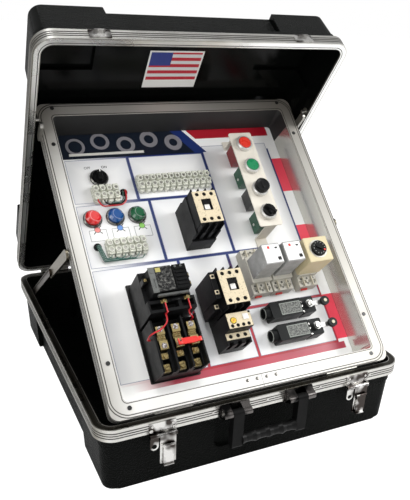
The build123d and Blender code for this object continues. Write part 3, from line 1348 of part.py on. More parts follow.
def limit_lever(v):
    """Clamp hub and arm, with the roller's pin at its end"""
    with BuildPart() as lever:
        with BuildSketch(PANEL.offset(LEVER_BASE)):
            with Locations((HUB_U, v)):
                Circle(LIMIT_HUB_RADIUS)
                Circle(LIMIT_SHAFT_RADIUS + HINGE_RUNNING, mode=Mode.SUBTRACT)
        extrude(amount=LIMIT_HUB_HEIGHT)
        with BuildSketch(PANEL.offset(LEVER_BASE)):
            with Locations((HUB_U + LIMIT_ARM / 2, v)):
                SlotCenterToCenter(LIMIT_ARM, LIMIT_ARM_WIDTH)
            with Locations((HUB_U, v)):
                Circle(LIMIT_SHAFT_RADIUS + HINGE_RUNNING, mode=Mode.SUBTRACT)
        extrude(amount=LIMIT_ARM_THICKNESS)
        with BuildSketch(PANEL.offset(LEVER_BASE)):
            with Locations((ROLLER_U, v)):
                Circle(ROLLER_PIN_RADIUS)
        extrude(amount=LIMIT_ARM_THICKNESS + ROLLER_WIDTH + 2 * SLIDE_GAP)
    return lever


def limit_roller(v):
    with BuildPart() as roller:
        with BuildSketch(PANEL.offset(LEVER_BASE + LIMIT_ARM_THICKNESS + SLIDE_GAP)):
            with Locations((ROLLER_U, v)):
                Circle(ROLLER_RADIUS)
                Circle(ROLLER_PIN_RADIUS + HINGE_RUNNING, mode=Mode.SUBTRACT)
        extrude(amount=ROLLER_WIDTH)
    return roller


for v, name in zip(LIMIT_V, ("upper", "lower")):
    save(limit_lever(v), f"limit_lever_{name}")
    save(limit_roller(v), f"limit_roller_{name}")


# Wires, each one tube along its route of straight runs and tangent arcs


def bend_radii(points, largest):
    """Bends as large as the runs beside each corner leave room for, up to a limit"""
    radii = []
    for before, corner, after in zip(points, points[1:], points[2:]):
        arriving = corner - before
        leaving = after - corner
        half_turn = radians(arriving.get_angle(leaving) / 2)
        room = BEND_SHARE * min(arriving.length, leaving.length) / tan(half_turn)
        radii.append(min(room, largest))
    return radii


def wire(radius, largest, *places):
    """Wire of few sides through places given on the panel as across, up and out"""
    points = [Vector(PANEL.from_local_coords(place)) for place in places]
    radii = bend_radii(points, largest)
    with BuildPart() as part:
        with BuildLine() as route:
            FilletPolyline(*points, radius=radii)
        start = Plane(origin=points[0], z_dir=points[1] - points[0])
        with BuildSketch(start) as section:
            RegularPolygon(radius, WIRE_SIDES)
        sweep(path=route.line)
    length = sum(edge.length for edge in route.edges())
    share = part.part.volume / (section.sketch.area * length)
    print("wire bends", [round(bend, 1) for bend in radii], "volume over section by length", round(share, 3))
    return part.part


def way_place(u, ways, index):
    return u + (index - (ways - 1) / 2) * BLOCK_PITCH


def power_wire(index, way, bearing):
    """Wire from the power grommet round to the near side of one way"""
    start_u = POWER_GROMMET[0] + POWER_WIRE_SPREAD * cos(radians(bearing))
    start_v = POWER_GROMMET[1] + POWER_WIRE_SPREAD * sin(radians(bearing))
    end_u = way_place(POWER_BLOCK_U, POWER_BLOCK_WAYS, way)
    end_v = POWER_BLOCK_V - BLOCK_DEPTH / 2
    low_v = end_v - POWER_WIRE_SWING * (1 + index) / 2
    height = WIRE_LOWEST + WIRE_LAYER * index
    return wire(
        WIRE_RADIUS,
        WIRE_BEND,
        (start_u, start_v, 0),
        (start_u, start_v, height),
        (start_u - POWER_WIRE_SWING / 2, low_v, height),
        (end_u + POWER_WIRE_SWING / 2, low_v, height),
        (end_u, end_v - WIRE_LEAD_IN, height),
        (end_u, end_v, height),
    )


def fan_wire(way):
    """Wire from the lamp grommet to one way, nested in the ones that go further"""
    layer = way % 2
    start_u = LAMP_GROMMET[0] + ((LAMP_BLOCK_WAYS - 1) / 2 - way) * FAN_STEP
    start_v = LAMP_GROMMET[1] + (FAN_SPLIT if layer == 0 else -FAN_SPLIT)
    end_u = way_place(LAMP_BLOCK_U, LAMP_BLOCK_WAYS, way)
    end_v = LAMP_BLOCK_V - BLOCK_DEPTH / 2
    height = FAN_HEIGHT + (FAN_LAYER if layer == 0 else 0)
    row_v = end_v - FAN_ROW - way * FAN_STEP
    return wire(
        FAN_WIRE_RADIUS,
        FAN_BEND,
        (start_u, start_v, 0),
        (start_u, start_v, height),
        (start_u + FAN_START, row_v, height),
        (end_u - FAN_LEAD, row_v - FAN_STEP, height),
        (end_u, end_v - FAN_ROW / 2, height),
        (end_u, end_v, height),
    )


CROSSBAR_FRONT = CROSSBAR_V - CROSSBAR_LENGTH / 2
LEFT_JUMPER = (
    (-130.0, CROSSBAR_FRONT, 66.0),
    (-130.0, 127.0, 66.0),
    (-143.0, 116.0, 66.0),
    (-161.0, 112.0, 63.0),
    (-161.0, 110.0, 40.0),
    (STARTER_U - MAGNET_WIDTH / 2, 110.0, 40.0),
)
RIGHT_JUMPER = (
    (-92.0, CROSSBAR_FRONT, 66.0),
    (-92.0, 132.0, 66.0),
    (-85.5, 128.5, 60.0),
    (-85.5, 128.5, HEATER_BLOCK_HEIGHT),
)

with BuildPart() as wires_red:
    add(power_wire(2, 0, POWER_WIRE_BEARINGS[0]))
    add(wire(WIRE_RADIUS, WIRE_BEND, *LEFT_JUMPER))
    add(wire(WIRE_RADIUS, WIRE_BEND, *RIGHT_JUMPER))
save(wires_red, "wires_red")

with BuildPart() as wires_black:
    add(power_wire(1, 1, POWER_WIRE_BEARINGS[1]))
save(wires_black, "wires_black")

with BuildPart() as wires_green:
    add(power_wire(0, 2, POWER_WIRE_BEARINGS[2]))
    for way in range(LAMP_BLOCK_WAYS):
        add(fan_wire(way))
save(wires_green, "wires_green")
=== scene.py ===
import json
from math import cos, pi, radians, sin

import bpy
from mathutils import Matrix, Vector


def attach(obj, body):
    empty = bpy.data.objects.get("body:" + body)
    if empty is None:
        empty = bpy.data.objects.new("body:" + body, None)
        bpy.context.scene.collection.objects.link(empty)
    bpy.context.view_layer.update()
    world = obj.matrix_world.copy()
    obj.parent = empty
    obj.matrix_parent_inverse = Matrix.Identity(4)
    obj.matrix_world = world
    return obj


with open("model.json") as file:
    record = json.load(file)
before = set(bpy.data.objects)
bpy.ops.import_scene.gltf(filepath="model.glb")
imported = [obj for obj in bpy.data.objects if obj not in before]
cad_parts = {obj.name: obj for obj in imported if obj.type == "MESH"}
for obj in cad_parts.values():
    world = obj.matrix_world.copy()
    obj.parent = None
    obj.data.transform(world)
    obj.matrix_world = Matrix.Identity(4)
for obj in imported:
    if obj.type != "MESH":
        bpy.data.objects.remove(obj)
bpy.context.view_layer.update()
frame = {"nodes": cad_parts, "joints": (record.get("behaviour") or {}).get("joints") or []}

bl_info = {
    "name": "Motor controls trainer",
    "version": (1, 0, 0),
    "blender": (4, 5, 0),
    "location": "View3D > Sidebar > Trainer",
    "description": "Finishes and small parts of a motor controls trainer in a carrying case",
    "category": "Object",
}

NODES = frame["nodes"]
JOINTS = {joint["name"]: joint for joint in frame["joints"]}
MILLIMETRE = 0.001

# Case and lid in millimetres: shells, bands, corner blocks and latches

CASE_WIDTH = 538.0
CASE_DEPTH = 598.0
CORNER_RADIUS = 30.0
BAND_PROUD = 7.0
BASE_RIM = 116.0
FRONT_Y = -CASE_DEPTH / 2
LATCHES_U = {"left": -173.0, "right": 173.0}
LEVER_OUT = 8.8
LID_ANGLE = radians(54.3)
LID_REACH = 304.0
LID_CORE = 81.0
LID_BLOCK = 88.0
BLOCK_SIZE = (118.0, 122.0)
CORE_INSET = 10.0
COLLAR_DEPTH = 35.0
SKIN = 2.0
DRAFT = 0.0437

# The lid label's low and high corners in the lid's own millimetres

LABEL = (-57.0, -217.0, 43.0, -139.0)

# Tray and panel in millimetres

TRAY_ANGLE = radians(43.4)
TRAY_PIN_BACK = 6.0
TRAY_PIN_BELOW = 16.0
TRAY_WIDTH = 490.0
TRAY_LENGTH = 543.0
PANEL_DEPTH = 48.0


def tilted(pin, turn, shift):
    """Matrix from local millimetres to the row frame, turned about X and shifted from a pin"""
    place = Matrix.Translation(Vector(pin)) @ Matrix.Rotation(turn, 4, "X")
    return place @ Matrix.Scale(MILLIMETRE, 4) @ Matrix.Translation(Vector(shift))


WORLD = Matrix.Scale(MILLIMETRE, 4)
TRAY = tilted(JOINTS["tray_tilt"]["pos_m"], TRAY_ANGLE, (0, TRAY_PIN_BACK, TRAY_PIN_BELOW))
PANEL = TRAY @ Matrix.Translation((0, 0, -PANEL_DEPTH))
LID = tilted(JOINTS["lid_hinge"]["pos_m"], -LID_ANGLE, (0, -LID_REACH, 0))
FRONT = Matrix.Translation((0, FRONT_Y * MILLIMETRE, 0)) @ Matrix.Rotation(pi / 2, 4, "X") @ WORLD


class Sock:
    """A shader socket that takes part in Python arithmetic"""

    def __init__(self, paint, socket):
        self.paint = paint
        self.socket = socket

    def __add__(self, other):
        return self.paint.math("ADD", self, other)

    def __radd__(self, other):
        return self.paint.math("ADD", other, self)

    def __sub__(self, other):
        return self.paint.math("SUBTRACT", self, other)

    def __rsub__(self, other):
        return self.paint.math("SUBTRACT", other, self)

    def __mul__(self, other):
        return self.paint.math("MULTIPLY", self, other)

    def __rmul__(self, other):
        return self.paint.math("MULTIPLY", other, self)

    def __gt__(self, other):
        return self.paint.math("GREATER_THAN", self, other)

    def __lt__(self, other):
        return self.paint.math("LESS_THAN", self, other)

    def __abs__(self):
        return self.paint.math("ABSOLUTE", self)

    def most(self, other):
        return self.paint.math("MAXIMUM", self, other)

    def least(self, other):
        return self.paint.math("MINIMUM", self, other)

    def root(self):
        return self.paint.math("SQRT", self)

    def wave(self):
        return self.paint.math("SINE", self)

    def pick(self, first, second):
        """First value where this mask is 0, second where it is 1"""
        return self.paint.node("ShaderNodeMix", {"data_type": "FLOAT"}, {0: self, 2: first, 3: second})


class Paint:
    """One procedural material, or the world, under construction"""

    def __init__(self, name, matrix=None, library=None):
        library = bpy.data.materials if library is None else library
        self.made = library.new(name)
        self.made.use_nodes = True
        self.tree = self.made.node_tree
        self.tree.nodes.clear()
        if matrix:
            self.at = self.place(matrix)

    def node(self, kind, settings=None, values=None, output=0):
        """Add a node: its settings first, then values or links for its sockets"""
        made = self.tree.nodes.new(kind)
        for key, value in (settings or {}).items():
            setattr(made, key, value)
        for key, value in (values or {}).items():
            if isinstance(value, Sock):
                self.tree.links.new(value.socket, made.inputs[key])
            else:
                made.inputs[key].default_value = value
        return Sock(self, made.outputs[output])

    def math(self, operation, *values):
        return self.node("ShaderNodeMath", {"operation": operation}, dict(enumerate(values)))

    def place(self, matrix):
        """Object coordinates in millimetres of a local frame"""
        values = {
            "Vector": self.node("ShaderNodeTexCoord", output="Object"),
            "Location": matrix.to_translation(),
            "Rotation": matrix.to_euler(),
            "Scale": (MILLIMETRE, MILLIMETRE, MILLIMETRE),
        }
        return self.node("ShaderNodeMapping", {"vector_type": "TEXTURE"}, values)

    def split(self):
        made = self.node("ShaderNodeSeparateXYZ", values={0: self.at})
        return [Sock(self, socket) for socket in made.socket.node.outputs]

    def noise(self, scale, detail=3.0, roughness=0.5, stretch=None):
        vector = self.at
        if stretch:
            vector = self.node("ShaderNodeVectorMath", {"operation": "MULTIPLY"}, {0: vector, 1: stretch})
        values = {"Vector": vector, "Scale": scale, "Detail": detail, "Roughness": roughness}
        return self.node("ShaderNodeTexNoise", None, values)

    def cells(self, scale):
        return self.node("ShaderNodeTexVoronoi", None, {"Vector": self.at, "Scale": scale})

    def mix(self, factor, first, second):
        values = {0: factor, 6: opaque(first), 7: opaque(second)}
        return self.node("ShaderNodeMix", {"data_type": "RGBA"}, values, 2)

    def ease(self, value, low, high, first=0.0, second=1.0):
        """Straight change from first to second as a value goes from low to high"""
        values = {0: value, 1: low, 2: high, 3: first, 4: second}
        return self.node("ShaderNodeMapRange", {"clamp": True}, values)

    def between(self, noise, first, second):
        """Change from first to second over the middle of a noise's range"""
        return self.ease(noise, 0.3, 0.7, first, second)

    def bump(self, height, strength, distance):
        values = {"Height": height, "Strength": strength, "Distance": distance}
        return self.node("ShaderNodeBump", None, values)

    def finish(self, colour, roughness, **more):
        """Close the material with one shader. More holds its other sockets by name"""
        values = {"Base Color": opaque(colour), "Roughness": roughness}
        for key, value in more.items():
            values[key.replace("_", " ").title().replace("Ior", "IOR")] = value
        return self.close(self.node("ShaderNodeBsdfPrincipled", None, values))

    def close(self, shader, kind="ShaderNodeOutputMaterial"):
        output = self.tree.nodes.new(kind)
        self.tree.links.new(shader.socket, output.inputs["Surface"])
        return self.made


def opaque(colour):
    if isinstance(colour, Sock) or len(colour) == 4:
        return colour
    return (*colour, 1.0)


def scaled(colour, share):
    return tuple(min(1.0, value * share) for value in colour)


def any_of(masks):
    """Mask that covers what any of several masks covers"""
    first, *rest = masks
    for mask in rest:
        first = first.most(mask)
    return first


def inside(x, y, low_x, low_y, high_x, high_y):
    """Mask of a rectangle in the plane of x and y"""
    return (x > low_x) * (x < high_x) * (y > low_y) * (y < high_y)


def outline(x, y, low_x, low_y, high_x, high_y, width=0.9):
    """Mask of a rectangle's border, width wide and inside its edges"""
    full = inside(x, y, low_x, low_y, high_x, high_y)
    return full - inside(x, y, low_x + width, low_y + width, high_x - width, high_y - width)


def edge_distance(x, y, half_x, half_y):
    """Distance inwards from the border of a rounded rectangle round the middle"""
    across = (abs(x) - (half_x - CORNER_RADIUS)).most(0.0)
    along = (abs(y) - (half_y - CORNER_RADIUS)).most(0.0)
    in_corner = (across > 0.0) * (along > 0.0)
    straight = (half_x - abs(x)).least(half_y - abs(y))
    return in_corner.pick(straight, CORNER_RADIUS - (across * across + along * along).root())


def near(value, middle, width):
    """Mask of a line at one value"""
    return abs(value - middle) < width / 2


def away(x, y, middle_x, middle_y):
    """Distance from a point in the plane of x and y"""
    across = x - middle_x
    up = y - middle_y
    return (across * across + up * up).root()


# Materials, the dark ones with a weak shine

DARK_SHINE = 0.11
PLAIN_SHINE = 0.5
NEAR_BLACK = (0.012, 0.012, 0.012)


def moulded_plastic(name, colour, gloss=0.35, mottling=0.25, grain=0.5, matrix=PANEL):
    """Moulded plastic with fine grain and slight mottling in its colour and roughness"""
    paint = Paint(name, matrix)
    tone = paint.noise(0.05, 4.0)
    surface = paint.mix(tone, scaled(colour, 1 - mottling), scaled(colour, 1 + mottling))
    rough = paint.between(tone, gloss - 0.07, gloss + 0.1)
    shine = DARK_SHINE if max(colour) < 0.05 else PLAIN_SHINE
    normal = paint.bump(paint.noise(grain, 2.0), 0.12, 0.0004)
    return paint.finish(surface, rough, specular_ior_level=shine, normal=normal)


def metal(name, colour, gloss=0.28, amount=0.12, metallic=1.0, matrix=PANEL):
    """Satin or bright metal, clouded in colour and uneven in gloss"""
    paint = Paint(name, matrix)
    drawn = paint.noise(0.6, 4.0, 0.6)
    surface = paint.mix(paint.noise(0.03, 3.0), scaled(colour, 1 - amount), colour)
    rough = paint.ease(drawn, 0.25, 0.75, gloss - 0.08, gloss + 0.12)
    return paint.finish(surface, rough, metallic=metallic, normal=paint.bump(drawn, 0.05, 0.0003))


def grained_case(name, colour, matrix=WORLD, smooth_inside=False):
    """Case plastic: pebbled, or on the lid's inner walls smoother and glossier"""
    paint = Paint(name, matrix)
    pebbles = paint.cells(0.42)
    wear = paint.noise(0.02, 5.0, 0.6)
    surface = paint.mix(wear, scaled(colour, 0.7), scaled(colour, 1.35))
    rough = paint.between(wear, 0.32, 0.44)
    shine = DARK_SHINE * 0.3
    if smooth_inside:
        within = lid_walls(*paint.split())
        rough = within.pick(rough, paint.between(wear, 0.1, 0.2))
        pebbles = pebbles * (1.0 - within * 0.95)
        shine = DARK_SHINE
    normal = paint.bump(pebbles, 0.9, 0.0011)
    return paint.finish(surface, rough, specular_ior_level=shine, normal=normal)


def lid_walls(x, y, z):
    """Mask of the lid's inner walls: its drafted core, its corner blocks and its collar"""
    half_x = CASE_WIDTH / 2 - BAND_PROUD
    half_y = CASE_DEPTH / 2 - BAND_PROUD
    slant = z * DRAFT
    core = (abs(x) + slant < half_x - CORE_INSET) * (abs(y) + slant < half_y - CORE_INSET)
    core = core * (z < LID_CORE - SKIN)
    blocks = (abs(x) > half_x - BLOCK_SIZE[0]) * (abs(y) > half_y - BLOCK_SIZE[1]) * (z < LID_BLOCK - SKIN)
    blocks = blocks * (abs(x) + slant < half_x - SKIN) * (abs(y) + slant < half_y - SKIN)
    collar = (abs(x) < half_x - SKIN) * (abs(y) < half_y - SKIN) * (z < COLLAR_DEPTH)
    return any_of([core, blocks, collar])


# Bands: grooves by their depth from the rim, the rest by distance in from the outer edge. The grooves, a
# line on the rim face and the inner side carry painted shade

BAND_CHANNELS = (6.0, 10.0, 14.0)
BAND_FACE = (2.0, 10.6)
BAND_LINE = 8.6
BAND_INNER = 11.6


def banded_metal(name, colour, matrix, rim, sign, rim_face_lighting):
    """Extruded band: painted shade in its channels, along a line on the rim and on its inner side, painted
    shade at its left end, and a rim face in a given colour of painted light
    """
    paint = Paint(name, matrix)
    x, y, z = paint.split()
    depth = (z - rim) * sign
    left = -CASE_WIDTH / 2
    surface = paint.mix(paint.noise(0.02, 4.0, 0.6), scaled(colour, 0.62), colour)
    # Painted shade: darker and browner towards the band's left end, away from the light
    surface = paint.mix(paint.ease(x, left + 1.0, left + 16.0, 0.75, 0.0), surface, (0.14, 0.125, 0.09))
    distance = edge_distance(x, y, CASE_WIDTH / 2, CASE_DEPTH / 2)
    on_rim = depth < 0.6
    face = on_rim * (distance > BAND_FACE[0]) * (distance < BAND_FACE[1])
    # The rim face takes a given colour of painted light in place of the aluminium's own
    surface = paint.mix(face, surface, rim_face_lighting)
    # Painted shade: the channels, a line on the rim face and the inner side go near black and less metallic
    shaded_channels = any_of([near(depth, channel, 2.0) for channel in BAND_CHANNELS])
    dark = any_of([shaded_channels, near(distance, BAND_LINE, 1.6) * on_rim, distance > BAND_INNER])
    surface = paint.mix(dark * 0.9, surface, (0.025, 0.022, 0.018))
    drawn = paint.noise(0.6, 3.0, stretch=(0.02, 0.02, 1.0))
    rough = paint.ease(drawn, 0.25, 0.75, 0.2, 0.36)
    return paint.finish(surface, rough, metallic=1.0 - dark * 0.7, normal=paint.bump(drawn, 0.04, 0.0002))


# Tray: bead lines, painted dark as shade, by distance in from the lip's edge and width, then the lip, with
# painted shade and a painted reflection, and the rear wall, painted dark as a reflection

BEADS = ((1.0, 1.8), (5.0, 1.7), (22.3, 1.4))
LIP_WIDTH = 23.0
REAR_WALL_FOOT = 480.0
REAR_WALL_HALF = 222.0


def tray_metal(name, colour):
    """Satin tray: bead lines painted dark as shade along the lip, painted shade at its right and left, a
    painted brown reflection at its rear, and a rear wall painted dark as a reflection of the lid
    """
    paint = Paint(name, TRAY)
    x, y, z = paint.split()
    cloud = paint.noise(0.012, 4.0, 0.6)
    surface = paint.mix(cloud, scaled(colour, 0.82), colour)
    # Painted shade: the lip greyer towards its right
    surface = paint.mix(paint.ease(x, 40.0, 215.0) * 0.72, surface, (0.30, 0.285, 0.25))
    # Painted shade: the lip greyer towards its left
    surface = paint.mix(paint.ease(x, -205.0, -240.0) * 0.6, surface, (0.24, 0.23, 0.2))
    # Painted reflection: the lip browner towards its rear, where the open lid shows in it
    surface = paint.mix(paint.ease(y, 440.0, 519.0) * 0.55, surface, (0.20, 0.17, 0.13))
    # Painted reflection: the rear wall near black and not metallic, as the black lid shows in it
    lid_reflection_wall = (y > REAR_WALL_FOOT) * (abs(x) < REAR_WALL_HALF) * (z < -1.2)
    surface = paint.mix(lid_reflection_wall, surface, NEAR_BLACK)
    middle = TRAY_LENGTH / 2
    distance = edge_distance(x, y - middle, TRAY_WIDTH / 2, middle)
    # Painted shade: near-black bead lines on the lip and rib lines on its outer skirt
    beads = any_of([near(distance, place, width) for place, width in BEADS]) * (z > -1.0)
    ribs = (distance < 2.0) * (z < -1.0) * (abs((z * 1.57).wave()) > 0.7)
    surface = paint.mix(beads.most(ribs) * 0.92, surface, (0.03, 0.027, 0.022))
    inner = (distance > LIP_WIDTH) * (z < -1.5)
    surface = paint.mix(inner * (1.0 - lid_reflection_wall), surface, (0.62, 0.61, 0.57))
    rough = paint.between(cloud, 0.4, 0.5) - inner * 0.22 + lid_reflection_wall * 0.35
    fine = paint.noise(0.5, 2.0, stretch=(0.05, 1.0, 1.0))
    shine = (1.0 - lid_reflection_wall) * (0.45 + inner * 0.4)
    return paint.finish(surface, rough, metallic=shine, normal=paint.bump(fine, 0.02, 0.0002))


def chrome(name, light, dark, scale=0.05):
    """Bright plating with painted reflections: patches of a dark and a light colour, as a room shows in it
    """
    paint = Paint(name, WORLD)
    patches = paint.noise(scale, 1.5, 0.5)
    # Painted reflection: noise patches of the dark and light colours
    surface = paint.mix(paint.ease(patches, 0.42, 0.6), dark, light)
    rough = paint.between(patches, 0.14, 0.26)
    return paint.finish(surface, rough, metallic=1.0, normal=paint.bump(patches, 0.1, 0.0005))


def stranded(name, colour, light):
    """Bundle of wires that reads as separate strands, with painted highlights along their edges"""
    paint = Paint(name, PANEL)
    y = paint.split()[1]
    waves = ((y + paint.noise(0.08, 1.0) * 3.0) * 2.3).wave()
    # Painted highlight: the light colour along the crest of each strand
    surface = paint.mix(paint.ease(waves, 0.35, 0.9) * 0.55, colour, light)
    rough = paint.ease(waves, -1.0, 1.0, 0.3, 0.4)
    return paint.finish(surface, rough, normal=paint.bump(waves, 0.4, 0.0005))


def worn_black(name, speck):
    """Black moulding with pale worn specks"""
    paint = Paint(name, PANEL)
    worn = paint.noise(0.22, 4.0, 0.6)
    surface = paint.mix(paint.ease(worn, 0.50, 0.72) * 0.5, NEAR_BLACK, speck)
    normal = paint.bump(worn, 0.3, 0.0006)
    return paint.finish(surface, paint.between(worn, 0.2, 0.4), specular_ior_level=0.3, normal=normal)


def cast_cover(name):
    """Cast cover with a coarse pattern of light and dark"""
    paint = Paint(name, PANEL)
    worn = paint.noise(0.32, 5.0, 0.7)
    surface = paint.mix(paint.ease(worn, 0.42, 0.6), (0.012, 0.013, 0.012), (0.17, 0.18, 0.16))
    return paint.finish(surface, paint.between(worn, 0.3, 0.5), normal=paint.bump(worn, 0.4, 0.0006))


def printed_ivory(name, colour):
    """Ivory face with small brown marks: its printed details, and painted shade of its moulded details as
    they read from afar
    """
    paint = Paint(name, PANEL)
    marks = paint.noise(0.38, 3.0, 0.65)
    surface = paint.mix(paint.noise(0.05), scaled(colour, 0.9), colour)
    # Brown marks: print, and painted shade of moulded relief
    surface = paint.mix(paint.ease(marks, 0.57, 0.66) * 0.55, surface, (0.16, 0.115, 0.06))
    return paint.finish(surface, paint.between(marks, 0.34, 0.46), normal=paint.bump(marks, 0.25, 0.0005))


def milky_plastic(name, colour):
    """Milky terminal plastic that lets a little light through"""
    paint = Paint(name, PANEL)
    cloud = paint.noise(0.25, 4.0)
    surface = paint.mix(cloud, scaled(colour, 0.82), colour)
    normal = paint.bump(cloud, 0.2, 0.0006)
    return paint.finish(surface, paint.between(cloud, 0.2, 0.34), transmission_weight=0.18, normal=normal)


# Printed panel in its own millimetres: frames round the groups of devices, header and red bars

NAVY = (0.003, 0.007, 0.016)
BLUE = (0.006, 0.022, 0.13)
RED = (0.40, 0.006, 0.02)
PINK = (0.80, 0.05, 0.09)
INK = (0.03, 0.03, 0.03)
FRAMES = {
    "power": (-207.0, 376.0, -97.0, 461.5),
    "strip": (-92.6, 376.0, 50.4, 461.5),
    "lamps": (-207.0, 256.0, -79.2, 371.6),
    "contactor": (-74.8, 256.0, 50.4, 371.6),
    "buttons": (54.8, 256.0, 192.0, 477.0),
    "starter": (-207.0, 60.0, -59.7, 251.6),
    "modular": (-55.3, 60.0, 34.0, 251.6),
    "relays": (38.4, 149.2, 192.0, 251.6),
    "limits": (38.4, 60.0, 192.0, 144.8),
}
GROUPS = (-208.0, 56.0, 195.0, 464.0)
SHADE_REACH = 26.0
HEADER_FOOT = 464.0
HEADER_SLANT = 0.75
HEADER_END = (38.0, 62.0, 70.0)
RING_PITCH = 46.0
RING_PLACE = (-182.0, 489.0)
RING_STEP = 9.0
RING_RADIUS = 17.0
RING_HOLE = 12.0
TITLE_BAR = (-196.0, 470.0, -60.0, 475.0)
BAR_EDGES = (195.0, 217.0)
SIDE_BARS = ((366.0, 440.0), (236.0, 292.0), (62.0, 148.0))
BOTTOM_BAR = (-190.0, 44.0, 206.0, 56.0)
TOP_BAR_FOOT = 494.0

# Pilot lamps: lens and symbol colours by place across the panel

LAMP_V = 345.0
LAMP_PITCH = 39.0
LENS_HIGHLIGHT_RING = 9.6
SYMBOL_V = 325.0
BRACKET_FOOT = 304.0
BRACKET_HALF = 15.0
RAY_REACH = 10.5
DISC_RIM = 5.4
DISC_RADIUS = 4.6
LAMPS = {
    -180.5: ((0.66, 0.010, 0.010), (0.78, 0.24, 0.22)),
    -141.5: ((0.001, 0.062, 0.24), (0.12, 0.28, 0.66)),
    -102.5: ((0.0, 0.088, 0.03), (0.27, 0.62, 0.12)),
}


def printed_panel(name, white):
    """White panel with shaded frames, a dark header, red bars and lamp symbols"""
    paint = Paint(name, PANEL)
    x, y = paint.split()[:2]
    haze = paint.noise(0.012)
    surface = paint.mix(haze, scaled(white, 0.93), white)
    filled = any_of([inside(x, y, *edges) for edges in FRAMES.values()])
    lines = any_of([outline(x, y, *edges) for edges in FRAMES.values()])
    shade = any_of([soft_edge(paint, x, y, *edges) for edges in FRAMES.values()])
    gaps = inside(x, y, *GROUPS) * paint.ease(x, -212.0, -90.0)
    surface = paint.mix(shade * 0.3, surface, (0.36, 0.38, 0.45))
    band = paint.mix(paint.ease(y, 150.0, 245.0), RED, BLUE)
    surface = paint.mix(gaps - gaps * filled, surface, band)
    surface = paint.mix(lines * 0.8, surface, (0.10, 0.12, 0.24))
    for layer in (header, red_bars, lamp_symbols):
        surface = layer(paint, x, y, surface)
    normal = paint.bump(paint.noise(1.2, 2.0), 0.03, 0.0002)
    return paint.finish(surface, paint.between(haze, 0.3, 0.42), normal=normal)


def soft_edge(paint, x, y, low_x, low_y, high_x, high_y):
    """Shade that fades inwards from a frame's left, top and right"""
    edge = (high_y - y).least(x - low_x).least(high_x - x)
    return inside(x, y, low_x, low_y, high_x, high_y) * paint.ease(edge, 0.0, SHADE_REACH, 1.0, 0.0)


def header_slant(x, y):
    return x + (y - HEADER_FOOT - 1.0) * HEADER_SLANT


def header(paint, x, y, surface):
    """Dark header with a slanted blue end, overlaid by a row of pale rings and a bar"""
    slant = header_slant(x, y)
    field = (y > HEADER_FOOT) * (slant < HEADER_END[1])
    surface = paint.mix(field, surface, NAVY)
    surface = paint.mix(field * (slant > HEADER_END[0]), surface, BLUE)
    for index in range(5):
        middle_x = RING_PLACE[0] + index * RING_PITCH
        middle_y = RING_PLACE[1] + (index % 2) * RING_STEP
        reach = away(x, y, middle_x, middle_y)
        ring = (reach < RING_RADIUS) * (reach > RING_HOLE - index)
        surface = paint.mix(ring * field * 0.5, surface, (0.40, 0.38, 0.40))
    return paint.mix(inside(x, y, *TITLE_BAR) * 0.8, surface, (0.75, 0.74, 0.68))


def red_bars(paint, x, y, surface):
    """Red top corner, right-hand bars and the bar along the bottom"""
    corner = (header_slant(x, y) > HEADER_END[2]) * (y > TOP_BAR_FOOT) * (x < BOTTOM_BAR[2])
    side = any_of([inside(x, y, BAR_EDGES[0], low, BAR_EDGES[1], high) for low, high in SIDE_BARS])
    bottom = inside(x, y, *BOTTOM_BAR) * paint.ease(x, BOTTOM_BAR[0], -120.0)
    surface = paint.mix(corner, surface, RED)
    surface = paint.mix(side, surface, PINK)
    return paint.mix(bottom, surface, (0.42, 0.045, 0.075))


def lamp_symbols(paint, x, y, surface):
    """Lamp symbols under the pilot lights: a coloured disc on a bracket of lines"""
    for middle, (_, disc) in LAMPS.items():
        bracket = outline(x, y, middle - BRACKET_HALF, BRACKET_FOOT, middle + BRACKET_HALF, SYMBOL_V)
        surface = paint.mix(bracket * 0.75, surface, INK)
        reach = away(x, y, middle, SYMBOL_V)
        rays = abs(abs(x - middle) - abs(y - SYMBOL_V)) < 1.1
        surface = paint.mix(rays * (reach < RAY_REACH), surface, INK)
        surface = paint.mix(reach < DISC_RIM, surface, (0.05, 0.05, 0.05))
        surface = paint.mix(reach < DISC_RADIUS, surface, disc)
    return surface


def lamp_glass(name):
    """Pilot lenses, each of its own colour, with a pale painted highlight ring near its rim"""
    paint = Paint(name, PANEL)
    x, y = paint.split()[:2]
    surface = NEAR_BLACK
    for middle, (lens, _) in LAMPS.items():
        surface = paint.mix(x > middle - LAMP_PITCH / 2, surface, lens)
    reach = [away(x, y, middle, LAMP_V) for middle in LAMPS]
    # Painted highlight: a pale ring round each lens
    rim = near(reach[0].least(reach[1]).least(reach[2]), LENS_HIGHLIGHT_RING, 1.4)
    surface = paint.mix(rim * 0.18, surface, (0.70, 0.72, 0.74))
    ribs = paint.noise(0.5, 2.0)
    rough = paint.ease(ribs, 0.2, 0.8, 0.08, 0.2)
    return paint.finish(surface, rough, coat_weight=0.6, normal=paint.bump(ribs, 0.1, 0.0005))


def striped_label(name, low_x, low_y, high_x, high_y):
    """Label of red and white stripes with a blue corner, in a white border"""
    paint = Paint(name, LID)
    x, y = paint.split()[:2]
    height = (high_y - low_y) * 0.78
    stripes = ((y - low_y) * (pi * 9.0 / height)).wave() > 0.0
    surface = paint.mix(stripes, (0.62, 0.61, 0.60), (0.45, 0.015, 0.03))
    corner = (x < low_x + (high_x - low_x) * 0.42) * (y < low_y + height * 0.5)
    surface = paint.mix(corner, surface, (0.02, 0.035, 0.20))
    border = 1.0 - inside(x, y, low_x + 3.0, low_y + 3.0, high_x - 3.0, low_y + height)
    surface = paint.mix(border, surface, (0.74, 0.73, 0.70))
    return paint.finish(surface, paint.between(paint.noise(0.3), 0.3, 0.45))


